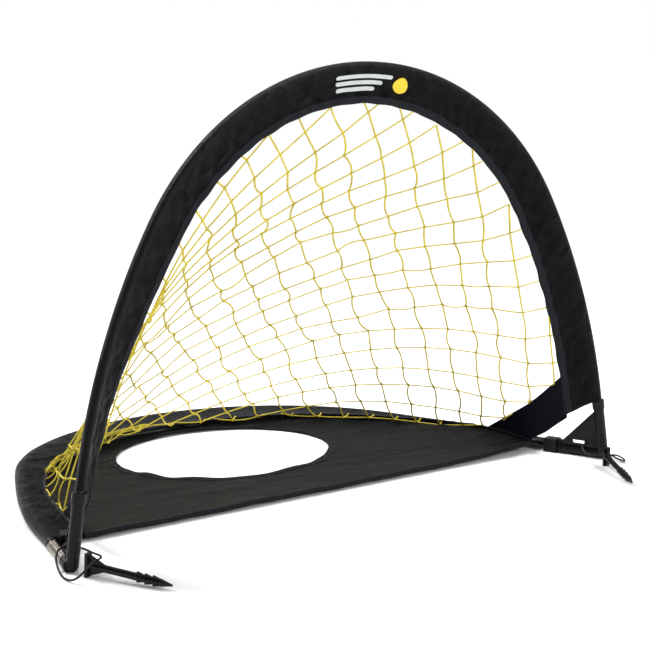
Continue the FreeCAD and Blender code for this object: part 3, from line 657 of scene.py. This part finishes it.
# %% The base sleeve's surface
BASE_BAND, BASE_WRAP = 0.1, 0.0087
BASE_SHARE = (BASE.leg + 0.004) / BASE.length, (SEAM.leg + 0.002) / SEAM.length
fine = np.interp(np.linspace(0, 1, 401), (0.0, 0.06, 0.10, 0.14, 0.18, 0.24, 0.48, 0.60, 0.80, 1.0),
                 (0.022, 0.024, 0.033, 0.034, 0.029, 0.021, 0.018, 0.023, 0.017, 0.015))
window = np.hanning(25) / np.hanning(25).sum()
SEAM_HEIGHTS = np.convolve(np.pad(fine, 12, mode="edge"), window, mode="valid")


def seam_lift(share):
    """Height of the seam above the base pole's middle: the net and gusset lift it behind the right foot."""
    return np.interp(share, np.linspace(0, 1, 401), SEAM_HEIGHTS) - BASE_Z


def base_lines(t):
    """Pole point and seam point at a share t from the right end of the sleeve to the left one."""
    low, seam_low = BASE_SHARE
    pole, _ = walk(BASE, BASE.length * (low + t * (1 - 2 * low)))
    seam, _ = walk(SEAM, SEAM.length * (seam_low + t * (1 - 2 * seam_low)))
    return pole, seam


def on_base(t, d, z):
    """Place a share t round the base, d inward from the pole in metres of a 100 mm band, z through it."""
    pole, seam = base_lines(t)
    across = seam - pole
    width = np.linalg.norm(across, axis=-1, keepdims=True)
    share = d / BASE_BAND
    left = np.clip((t - 0.58) / 0.12, 0, 1) * np.clip((1 - t) / 0.06, 0, 1)
    flat = pole + across / width * np.where(d < 0, d * (1 + left), share * width[..., 0])[..., None]
    inner = np.clip(share, 0, 1)
    length = t * BASE.length
    wave = inner**1.1 * (1 - 0.8 * inner**6) * 0.0036 * ripples(
        length, d, (0.19, 0.101, 0.058, 0.037), (0.3, -0.5, 0.4, -0.3), 11)
    wave = wave + left * inner**0.6 * (1 - inner**6) * 0.0080 * ripples(
        length, d, (0.083, 0.051), (0.9, 0.5), 21)
    puff = inner * (1 - inner) * (0.006 + 0.012 * left) * (
        0.45 + ripples(length, d, (0.14, 0.077, 0.046, 0.029), (0.8, -0.6, 0.5, 0.2), 13))
    upper = np.clip(z / 0.0085 * 4, -1, 1)
    lift = seam_lift(BASE_SHARE[1] + t * (1 - 2 * BASE_SHARE[1]))
    height = BASE_Z + lift * inner + z + wave + puff * np.maximum(upper, 0)
    height = height - 0.004 * inner * (1 - inner) * 4 * (upper < 0)
    return lying(flat, np.maximum(height, 0.0007))


d, h = teardrop(BASE_WRAP, BASE_BAND, 24, 0.024)
t = np.linspace(0.0, 1.0, 760)
base_cloth = put("base_sleeve_cloth", *strip(on_base, t, d, h))
dress(base_cloth, SLEEVE_CLOTH, "base", "sleeve_cloth", "base_sleeve")

# %% The seam's piping
d, h = rounded_strip(0.088, 0.1035, 0.0026, 10)
t = np.linspace(0.001, 0.999, 700)
seam_piping = put("seam_piping", *strip(on_base, t, d, h))
dress(seam_piping, HEM_TAPE, "base", "binding_tape", "base_hem_tape")
sewn("seam_stitching", [stitches(lambda s, d, z: on_base(s / BASE.length, d, z),
                                 (0.01, BASE.length - 0.01), at, 0.0027)
                        for at in (0.0905, 0.0835)], "base", "binding_tape")

# %% [markdown]
# ## The floor panel
# The floor is a flat panel with a large oval opening, sewn to the seam at the back and sides and hemmed
# along the front. It is pulled tight between them and just clears the ground, with soft folds that run
# from corner to corner. Rays from the middle of the opening reach its whole outline once, so angle and
# share of the ray make a grid with no gaps.

# %% The floor's surface
HOLE, HOLE_HALF = np.array([-0.018, 0.533]), np.array([0.240, 0.211])
FRONT = 0.140
edge_s = np.linspace(0, SEAM.length, 3000)
edge, _ = walk(SEAM, edge_s)
edge = edge[edge[:, 1] > FRONT]
edge = np.concatenate([[[edge[0, 0], FRONT]], edge, [[edge[-1, 0], FRONT]]])
front_line = np.stack([np.linspace(edge[-1, 0], edge[0, 0], 400)[1:-1], np.full(398, FRONT)], -1)
outline = np.concatenate([(edge - HOLE) * 1.012, front_line - HOLE])


def front_lift(x):
    """Rise of the front edge towards its right corner, which the gusset holds up."""
    near = np.clip((x - 0.18) / 0.34, 0, 1)
    return 0.0090 * near * near


edge_share = np.interp(edge[:, 1], walk(SEAM, edge_s[:1500])[0][:, 1], edge_s[:1500] / SEAM.length)
edge_share = np.where(edge[:, 0] < 0, 1 - edge_share, edge_share)
edge_lift = np.concatenate([seam_lift(edge_share) + BASE_Z - 0.0145, front_lift(front_line[:, 0])])
bearing = np.arctan2(outline[:, 1], outline[:, 0])
order = np.argsort(bearing)
corner_bearings = np.arctan2([FRONT - HOLE[1]] * 2, [edge[0, 0], edge[-1, 0]])


def hole_reach(angle):
    """Distance from the opening's middle to its edge: 1 / length of (ray / half sizes)."""
    return 1 / np.linalg.norm(ray(angle) / HOLE_HALF, axis=-1)


def floor_reach(angle):
    """Distance from the middle of the opening to the floor's outline at a bearing."""
    return np.interp(angle, bearing[order], np.linalg.norm(outline[order], axis=1), period=2 * np.pi)


def floor_height(x, y):
    """Height of the floor cloth: up at its sewn edges, low between them, with long shallow folds."""
    side = np.clip((0.53 - np.abs(x)) / 0.16, 0, 1)
    front = np.clip((y - FRONT) / 0.13, 0, 1)
    low = side * side * (3 - 2 * side) * front * front * (3 - 2 * front)
    folds = 0.0026 * ripples(y + 0.10 * x, x, (0.170, 0.094, 0.058), (0.12, -0.22, 0.16), 17)
    pulls = 0.0016 * ripples(x, y, (0.23, 0.12), (0.5, -0.7), 19)
    return 0.0112 - 0.0072 * low + (folds + pulls) * (0.25 + 0.75 * front * side) * 0.9


def on_floor(angle, share):
    """Place on the floor along the ray at an angle, from the opening (0) to the outline (1)."""
    inner = hole_reach(angle)
    flat = HOLE + ray(angle) * (inner + (floor_reach(angle) - inner) * share)[..., None]
    lift = np.interp(angle, bearing[order], edge_lift[order], period=2 * np.pi) * share**3
    return lying(flat, floor_height(flat[..., 0], flat[..., 1]) + lift)


angle = np.unique(np.concatenate([np.linspace(-np.pi, np.pi, 420, endpoint=False), corner_bearings]))
share = np.linspace(0, 1, 46)
grid = on_floor(angle[:, None] + 0 * share, share + 0 * angle[:, None]).transpose(1, 0, 2)
points, faces, _ = skin(grid, caps=False)
floor_uv = [points[f][..., :2] for f in faces]
floor_cloth = thicken(put("floor_cloth_panel", points, faces, floor_uv), 0.0008)
dress(floor_cloth, FLOOR_CLOTH, "base", "floor_cloth", "floor_panel")
first, *others = points[faces[0]].transpose(1, 0, 2)
floor_area = float(sum(np.linalg.norm(np.cross(others[k] - first, others[k + 1] - first), axis=1).sum() / 2
                       for k in (0, 1)))
print("floor area", round(floor_area, 3))

# %% [markdown]
# ## Hems of the floor
# The opening's edge is turned under and sewn with two rows, which leaves a soft raised ring. The front
# edge is rolled round a cord, so it reads as a dark round bead along the ground.


# %% The opening's hem
def on_hole(angle, out, rise):
    """Place beside the opening: out from its edge along the ray, rise above the floor cloth."""
    flat = HOLE + ray(angle) * (hole_reach(angle) + out)[..., None]
    return lying(flat, floor_height(flat[..., 0], flat[..., 1]) + rise)


d, h = rounded_strip(-0.001, 0.019, 0.0011, 10)
around = np.linspace(-np.pi, np.pi, 361)[:-1]
ring_d, ring_h = loop(d, -h)
grid = spread(on_hole, around, ring_d, ring_h + 0.0006)
rows, columns = grid.shape[:2]
quads, cells = grid_faces(rows + 1, columns, True)
quads, cell_uv = quads % (rows * columns), cells * np.array([1.4 / rows, 0.04 / columns])
if volume(grid.reshape(-1, 3), [quads]) < 0:
    quads, cell_uv = quads[:, ::-1], cell_uv[:, ::-1]
hole_hem = put("hole_hem", grid.reshape(-1, 3), [quads], [cell_uv])
dress(hole_hem, FLOOR_CLOTH, "base", "binding_tape", "hole_hem_tape")
HOLE_RADIUS = 0.23
sewn("hole_stitching", [stitches(lambda s, d, z: on_hole(s / HOLE_RADIUS, d, z),
                                 (-np.pi * HOLE_RADIUS, np.pi * HOLE_RADIUS), at, 0.0021)
                        for at in (0.003, 0.0165)], "base", "binding_tape")

# %% The front bead
half_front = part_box("front_hem_tape")[1][0]
x = np.linspace(-half_front, half_front, 260)
height = 0.0098 + front_lift(x) + 0.0012 * ripples(x, 0, (0.31, 0.13), (0, 0), 23)
bead_path = np.stack([x, np.full_like(x, POST_Y + FRONT - 0.004), height], -1)
thickness = 0.0052 + 0.0005 * ripples(x, 0, (0.05, 0.031), (0, 0), 29)
front_bead = put("front_bead", *tubes(bead_path[None], thickness[None], 14))
dress(front_bead, HEM_TAPE, "base", "binding_tape", "front_hem_tape")

# %% [markdown]
# ## The net
# The net is knotted square mesh cut on the bias, so its two families of twine run at about 45 degrees to
# the line from arch to seam. Unrolled flat it is a plain lattice. Each crossing is placed on the ruled
# surface between hem and seam, and then the twine is let settle: bars can't stretch, knots have weight,
# one family is tight and the other is slack. Each bar is then a thin tube that bows by its own slack.
# Along the left of the seam a loose lashing of six strands gathers the mesh.

# %% The lattice on the unrolled net
MESH, TILT = 0.060, 6.0
ARCH_FROM, SEAM_FROM = 0.184, 0.244
LOWEST_KNOT = 0.0175


def s_at(b, level, inset):
    """Length along a bow at which its inset copy reaches a level above the feet."""
    s = np.linspace(0, b.length / 2, 4000)
    point, inward = walk(b, s)
    return float(np.interp(level, (point + inward * inset)[:, 1], s))


net_s = s_at(ARCH, ARCH_FROM, ARCH_BAND)
seam_s = s_at(SEAM, SEAM_FROM, 0.0)


def arch_edge(t):
    """Hem point of the arch sleeve for a share t from the net's right end to its left one."""
    s = net_s + t * (ARCH.length - 2 * net_s)
    return on_arch(s, np.full_like(s, ARCH_BAND + 0.001), np.zeros_like(s))


def seam_edge(t):
    """Seam point for a share t; the mesh has slid along the seam towards the left, so shares bunch there."""
    t = t + 0.055 * np.sin(np.pi * np.clip(t, 0, 1)) ** 2
    s = seam_s + t * (SEAM.length - 2 * seam_s)
    point, _ = walk(SEAM, s)
    return lying(point, BASE_Z + seam_lift(s / SEAM.length) + 0.003)


t = np.linspace(0, 1, 1500)
RULE = np.array([0, 1, -1]) / math.sqrt(2)
ends_a, ends_b = arch_edge(t), seam_edge(t)
middle = (ends_a + ends_b) / 2
steps = np.diff(middle, axis=0)
steps = steps - (steps @ RULE)[:, None] * RULE
girth = np.concatenate([[0], np.linalg.norm(steps, axis=1).cumsum()])
p_arch, p_seam = ends_a @ RULE, ends_b @ RULE


def on_net(p, q):
    """Place on the ruled surface for unrolled coordinates: p along the rulings, q round the girth."""
    at = np.interp(q, girth, t)
    low, high = arch_edge(at), seam_edge(at)
    share = (p - low @ RULE) / (high @ RULE - low @ RULE)
    return low + (high - low) * np.clip(share, 0, 1)[..., None]


def inside(p, q, margin=0.0):
    """Whether unrolled coordinates lie on the net."""
    return ((q > margin) & (q < girth[-1] - margin) & (p > np.interp(q, girth, p_arch) + margin)
            & (p < np.interp(q, girth, p_seam) - margin))


reach = 60
i, j = [a.ravel() for a in np.meshgrid(np.arange(-reach, reach), np.arange(-reach, reach), indexing="ij")]
p_mid = float((p_arch + p_seam).mean() / 2)
step_i, step_j = [MESH * np.array([math.cos(a), math.sin(a)]) for a in np.radians((45 + TILT, TILT - 45))]
p, q = i * step_i[0] + j * step_j[0] + p_mid, i * step_i[1] + j * step_j[1] + girth[-1] / 2
keep = inside(p, q, 0.006)
p, q, i, j = p[keep], q[keep], i[keep], j[keep]
number = -np.ones((2 * reach + 2, 2 * reach + 2), int)
number[i + reach, j + reach] = np.arange(len(i))
print("knots", len(i), "girth", round(float(girth[-1]), 3))

# %% Bars between knots and to the hems
bars, pins = [], []
for family, (di, dj) in enumerate(((1, 0), (0, 1))):
    for way in (1, -1):
        other = number[i + reach + way * di, j + reach + way * dj]
        both = np.flatnonzero((other >= 0) & (way == 1))
        bars.append(np.column_stack([both, other[both], np.full(len(both), family),
                                     np.full(len(both), MESH)]))
        lone = np.flatnonzero(other < 0)
        share = np.linspace(0.02, 1, 50)
        step_p, step_q = way * (di * step_i + dj * step_j)
        at_p, at_q = p[lone, None] + step_p * share, q[lone, None] + step_q * share
        far = share[np.minimum(np.cumprod(inside(at_p, at_q), axis=1).sum(1), 49)]
        end_p, end_q = p[lone] + step_p * far, q[lone] + step_q * far
        first = len(i) + sum(len(a) for a in pins)
        pins.append(np.stack([end_p, end_q], -1))
        bars.append(np.column_stack([lone, first + np.arange(len(lone)), np.full(len(lone), family),
                                     far * MESH]))
bars, pins = np.concatenate(bars), np.concatenate(pins)
ends = bars[:, :2].astype(int)
family, rest = bars[:, 2].astype(int), bars[:, 3]
knots = np.concatenate([on_net(p, q), on_net(pins[:, 0], pins[:, 1])])
free = np.arange(len(knots)) < len(i)
print("bars", len(ends), "tied ends", len(pins))


# %% Let the net settle
def settle(knots, ends, rest, free, rounds=500, weight=0.00005):
    """Each round lowers every free knot a little, then pulls every overlong bar back to its length."""
    knots = knots.copy()
    uses = np.bincount(ends.ravel(), minlength=len(knots)).astype(float)[:, None]
    for _ in range(rounds):
        knots[free, 2] -= weight
        for _ in range(4):
            across = knots[ends[:, 1]] - knots[ends[:, 0]]
            length = np.linalg.norm(across, axis=1)
            over = np.maximum(length - rest, 0) / np.maximum(length, 1e-9)
            pull = across * (over / 2)[:, None]
            move = np.zeros_like(knots)
            np.add.at(move, ends[:, 0], pull)
            np.add.at(move, ends[:, 1], -pull)
            knots[free] += (move / uses * 1.6)[free]
    return knots


knots[free] += rng.normal(0, 0.004, (int(free.sum()), 3))
length_now = np.linalg.norm(knots[ends[:, 1]] - knots[ends[:, 0]], axis=1)
slack = np.where(family == 0, 1.0, 1.035) * rng.normal(1.0, 0.015, len(rest))
bar_length = np.maximum(rest * slack, length_now * np.where(family == 0, 0.95, 0.98))
knots = settle(knots, ends, bar_length, free)
knots[free, 2] = np.maximum(knots[free, 2], LOWEST_KNOT)
print("lowest knot", round(float(knots[:, 2].min()), 4), "highest", round(float(knots[:, 2].max()), 4))


# %% Bars as tubes, knots as beads
def bowed(knots, ends, lengths, steps=6):
    """Points of each bar: straight between knots plus a parabola as deep as its slack allows."""
    first, last = knots[ends[:, 0]], knots[ends[:, 1]]
    span = np.linalg.norm(last - first, axis=1)
    deep = span * np.sqrt(np.clip(0.375 * (lengths / np.maximum(span, 1e-6) - 1), 0, 0.010))
    way = rng.normal(0, 0.7, (len(ends), 3)) + np.array([0, 0, -0.8])
    way -= ((way * (last - first)).sum(1) / np.maximum(span, 1e-6) ** 2)[:, None] * (last - first)
    way /= np.maximum(np.linalg.norm(way, axis=1, keepdims=True), 1e-9)
    at = np.linspace(0, 1, steps)[None, :, None]
    return first[:, None] * (1 - at) + last[:, None] * at + (way * deep[:, None])[:, None] * 4 * at * (1 - at)


paths = bowed(knots, ends, bar_length)
thin, thick = tubes(paths[family == 0], 0.00145), tubes(paths[family == 1], 0.00185)
beads = blobs(knots[free], (0.0030, 0.0030, 0.0038))
t = np.linspace(0.50, 0.80, 500)
hems = []
for strand in range(6):
    drift = 0.006 + 0.005 * ripples(t, 0, (0.11, 0.057, 0.031), (0, 0, 0), 40 + strand)
    turn = 2 * np.pi * (t * 32 + strand / 6)
    thread = np.stack([np.cos(turn), 0.6 * np.cos(turn + 1), 0.7 * np.sin(turn) + 0.5], -1)
    hems.append(tubes((seam_edge(t) + drift[:, None] * thread)[None], 0.0011))
net = put("knotted_net", *joined([thin, thick, beads, *hems]))
dress(net, NET_TWINE, None, "net_twine", "net_panel")
print("net triangles", sum(len(f.vertices) - 2 for f in net.data.polygons))


# %% [markdown]
# ## Fan weights for the cloth
# The net and the gussets are sewn to both hoops. Each point gets a weight by how far round the hinge it
# sits: one on the ground, none at the arch, evenly between, as the pocket would close like a fan. The
# weights are worked out here but not applied.

# %% Fan weights
HINGE = next(j for j in frame["record"]["behaviour"]["joints"] if j["name"] == "base_fold")["pos_m"]


def fan(thing, upright=96.0):
    """Bakes a piece's place into its mesh and works out a weight per point by its angle about the hinge; the
    weights are not applied.
    """
    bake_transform(thing)
    count = len(thing.data.vertices)
    co = np.empty(count * 3, np.float32)
    thing.data.vertices.foreach_get("co", co)
    co = co.reshape(-1, 3)
    angle = np.degrees(np.arctan2(co[:, 2] - HINGE[2], co[:, 1] - HINGE[1]))
    weight = np.clip(1 - angle / upright, 0, 1)


fan(net)

# %% [markdown]
# ## The corner gussets
# A strip of navy webbing closes each corner between the arch hem and the seam. It is sewn along both
# ends and hangs between them, so its edges curve inward a little and it sags in the middle.


# %% Gussets
def gusset(name, side):
    """Strip between the arch hem and the seam: rows run from one to the other, columns across it."""
    run, across = np.linspace(0, 1, 40)[:, None], np.linspace(0, 1, 24)[None, :]
    waist = across * (1 - 0.09 * np.sin(np.pi * run)) + 0.03 * np.sin(np.pi * run)
    levels_arch = s_at(ARCH, 0.112, ARCH_BAND), s_at(ARCH, 0.190, ARCH_BAND)
    levels_seam = s_at(SEAM, 0.138, 0.0), s_at(SEAM, 0.262, 0.0)
    s_arch = levels_arch[0] + waist * (levels_arch[1] - levels_arch[0])
    s_seam = levels_seam[0] + waist * (levels_seam[1] - levels_seam[0])
    if side < 0:
        s_arch, s_seam = ARCH.length - s_arch, SEAM.length - s_seam
    high = on_arch(s_arch, np.full_like(s_arch, ARCH_BAND - 0.004), np.full_like(s_arch, 0.002))
    point, _ = walk(SEAM, s_seam)
    low = lying(point, BASE_Z + seam_lift(s_seam / SEAM.length) + 0.001)
    grid = high + (low - high) * run[..., None]
    folds = ripples(across * 0.09, run * 0.2, (0.07, 0.033), (0.3, -0.2), 31)
    belly = np.sin(np.pi * run) * (0.006 + 0.0035 * folds)
    grid = grid + belly[..., None] * np.array([0.45 * side, 0.3, -0.8])
    return thicken(put(name, *skin(grid, wrap=False, caps=False)), 0.0016)


for side, word in ((1, "right"), (-1, "left")):
    piece = gusset(f"corner_gusset_{word}", side)
    dress(piece, GUSSET_CLOTH, None, "webbing", f"gusset_{word}")
    fan(piece)

# %% [markdown]
# ## The corner springs
# Each spring joins a bracket to the base pole, and is what pops the goal open. A helix of plated wire
# is carried along the base hoop's straight leg.


# %% Springs
def spring(name, side, start=0.0283, stop=0.1237, radius=0.0084, wire=0.0013, pitch=0.0054):
    """Tube along a helix: centre line + r (cos a, sin a) with a turning once per pitch."""
    turns = (stop - start - 2 * wire) / pitch
    a = np.linspace(0, 2 * np.pi * turns, int(turns * 22))
    run = start + wire + a / (2 * np.pi) * pitch
    point, inward = walk(BASE, run)
    flat = point + inward * (radius * np.cos(a))[:, None]
    path = lying(flat * (side, 1), BASE_Z + radius * np.sin(a))
    return put(name, *tubes(path[None], wire, 9, (-math.sin(BASE.toe) * side, math.cos(BASE.toe), 0.0)))


for side, word in ((1, "right"), (-1, "left")):
    coil = spring(f"corner_spring_{word}", side)
    dress(coil, SPRING_STEEL, None, "spring_steel", f"base_spring_{word}")
    ends_at = [walk(BASE, at)[0] for at in (0.026, 0.126)]
    ends_at[0][0] * side
    POST_Y + ends_at[0][1]
    ends_at[1][0] * side
    POST_Y + ends_at[1][1]
    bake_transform(coil)

# %% [markdown]
# ## The peg tethers
# Each peg hangs on a loop of braided cord. It leaves the knot behind the bracket's slot, drops over the
# spring to the ground, runs through the peg's eye and comes back through the slot to the knot.

# %% Tethers
ROUTES = {
    "left": [
        (-601.7, -412.8, 30.3), (-612, -414, 30), (-622, -423, 19), (-627, -442, 8), (-631, -464, 2.6),
        (-633, -488, 2.4), (-629, -509, 5), (-618, -519, 16), (-603, -513.5, 26.4), (-588, -504.6, 27.6),
        (-573, -495.6, 28.4), (-567, -477, 26), (-569, -455, 24), (-572, -436, 25), (-577.2, -421.5, 26.6),
        (-597.5, -414.2, 29.7),
    ],
    "right": [
        (601.7, -412.8, 30.3), (612, -416, 29), (621, -430, 17), (625, -449, 7), (626, -470, 2.6),
        (621, -492, 2.4), (611, -512, 4), (596, -525, 14), (576, -523.8, 26.2), (559.3, -514.7, 27.6),
        (543, -505.8, 28.2), (536, -486, 25), (545, -465, 22), (557, -445, 23), (569, -429, 25.5),
        (577.2, -421.5, 26.6), (597.5, -414.2, 29.7),
    ],
}
CORD_LENGTH, CORD_THICKNESS = {"left": 0.284, "right": 0.319}, 0.0036


def tether(name, route):
    """One open smooth spline with the route's points as its control points, as thick as the cord."""
    curve = bpy.data.curves.new(name, "CURVE")
    curve.dimensions = "3D"
    curve.bevel_depth, curve.bevel_resolution = CORD_THICKNESS / 2, 4
    curve.resolution_u, curve.use_fill_caps = 12, True
    line = curve.splines.new("NURBS")
    line.points.add(len(route) - 1)
    for point, place in zip(line.points, route):
        point.co = (*[v / 1000 for v in place], 1)
    line.order_u, line.use_endpoint_u = 3, True
    return linked(name, curve)


def knot(name, centre, size=0.0024, thick=0.0019):
    """Trefoil: x = sin a + 2 sin 2a, y = -sin 3a, z = cos a - 2 cos 2a, as a tube that meets itself."""
    a = np.linspace(0, 2 * np.pi, 97)
    path = np.stack([np.sin(a) + 2 * np.sin(2 * a), -np.sin(3 * a) * 1.1, np.cos(a) - 2 * np.cos(2 * a)], -1)
    path = path * size * 0.62
    return put(name, *tubes((path + centre)[None], thick, 10))


for word, route in ROUTES.items():
    cord = tether(f"peg_tether_{word}", route)
    end = knot(f"peg_knot_{word}", np.array(route[-1]) / 1000)
    dress(cord, TETHER_CORD, f"peg_on_{word}", "tether_cord", f"tether_{word}")
    dress(end, TETHER_CORD, f"peg_on_{word}", "tether_cord", f"tether_knot_{word}")

# %% [markdown]
# ## Stage, light and camera
# A broad sun from behind lights the pale floor evenly, and three large lamps show the dark cloth by its
# sheen. The camera stands low in front of the left post, looks across the mouth and sees a white world.

# %% Stage
paint = Paint("studio_floor")
cloud = paint.noise(paint.place(), 0.8, 2.0)
STUDIO = paint.finish({"Base Color": paint.mix(cloud, (0.93, 0.93, 0.93), (0.95, 0.95, 0.95)),
                       "Roughness": 0.9, "Specular IOR Level": 0.1})
ground = put("studio_ground", np.array([[-30, -30, 0], [30, -30, 0], [30, 30, 0], [-30, 30, 0]], float),
             [np.array([[0, 1, 2, 3]])], [np.array([[[0, 0], [1, 0], [1, 1], [0, 1]]], float)])
ground.data.materials.append(STUDIO)


def axes_from(backward, roll=0.0):
    """Turn of a lamp or camera that looks against the given direction: right, up and backward axes."""
    back = np.asarray(backward, float) / np.linalg.norm(backward)
    right = np.cross([0, 0, 1.0], back)
    right /= np.linalg.norm(right)
    up = np.cross(back, right)
    sides = right * math.cos(roll) + up * math.sin(roll), -right * math.sin(roll) + up * math.cos(roll)
    return Matrix(np.column_stack([*sides, back]).tolist()).to_4x4()


def lamp(name, place, target, size, power):
    """Round area lamp at a place, aimed at a target."""
    thing = linked(name, bpy.data.lights.new(name, "AREA"))
    thing.data.shape, thing.data.size, thing.data.energy = "DISK", size, power
    away = np.array(place, float) - np.array(target, float)
    thing.matrix_world = Matrix.Translation(place) @ axes_from(away)


lamp("top lamp", (0.3, 0.6, 3.2), (0, 0, 0.2), 1.6, 60)
lamp("front lamp", (0.9, -3.6, 1.5), (0, 0, 0.4), 0.9, 60)
lamp("side lamp", (3.4, -0.8, 2.4), (0, 0, 0.3), 1.2, 30)
key = linked("key light", bpy.data.lights.new("key light", "SUN"))
key.data.energy, key.data.angle = 3.2, math.radians(20)
key.matrix_world = axes_from((-0.30, 1.0, 1.05))
world = Paint("studio", "worlds")
seen = world.add("ShaderNodeBackground", {}, {"Color": (1.0, 1.0, 1.0, 1), "Strength": 1.0})
fill = world.add("ShaderNodeBackground", {}, {"Color": (1.0, 1.0, 1.0, 1), "Strength": 0.40})
by_camera = world.add("ShaderNodeLightPath", {}, {}, "Is Camera Ray")
either = world.add("ShaderNodeMixShader", {}, {0: by_camera, 1: fill, 2: seen})
world.add("ShaderNodeOutputWorld", {}, {"Surface": either})
bpy.context.scene.world = world.material
bpy.context.scene.view_settings.view_transform = "Standard"
print("stage lit")

# %% Camera
yaw, pitch = math.radians(34.10), math.radians(8.62)
looking = np.array([math.sin(yaw) * math.cos(pitch), math.cos(yaw) * math.cos(pitch), -math.sin(pitch)])
camera = linked("camera", bpy.data.cameras.new("camera"))
camera.data.lens, camera.data.sensor_width = 72.8, 36
camera.matrix_world = Matrix.Translation((-1.4115, -2.3832, 0.7097)) @ axes_from(
    -looking, math.radians(-0.772))
bpy.context.scene.camera = camera

# %% Update the scene
bpy.context.view_layer.update()
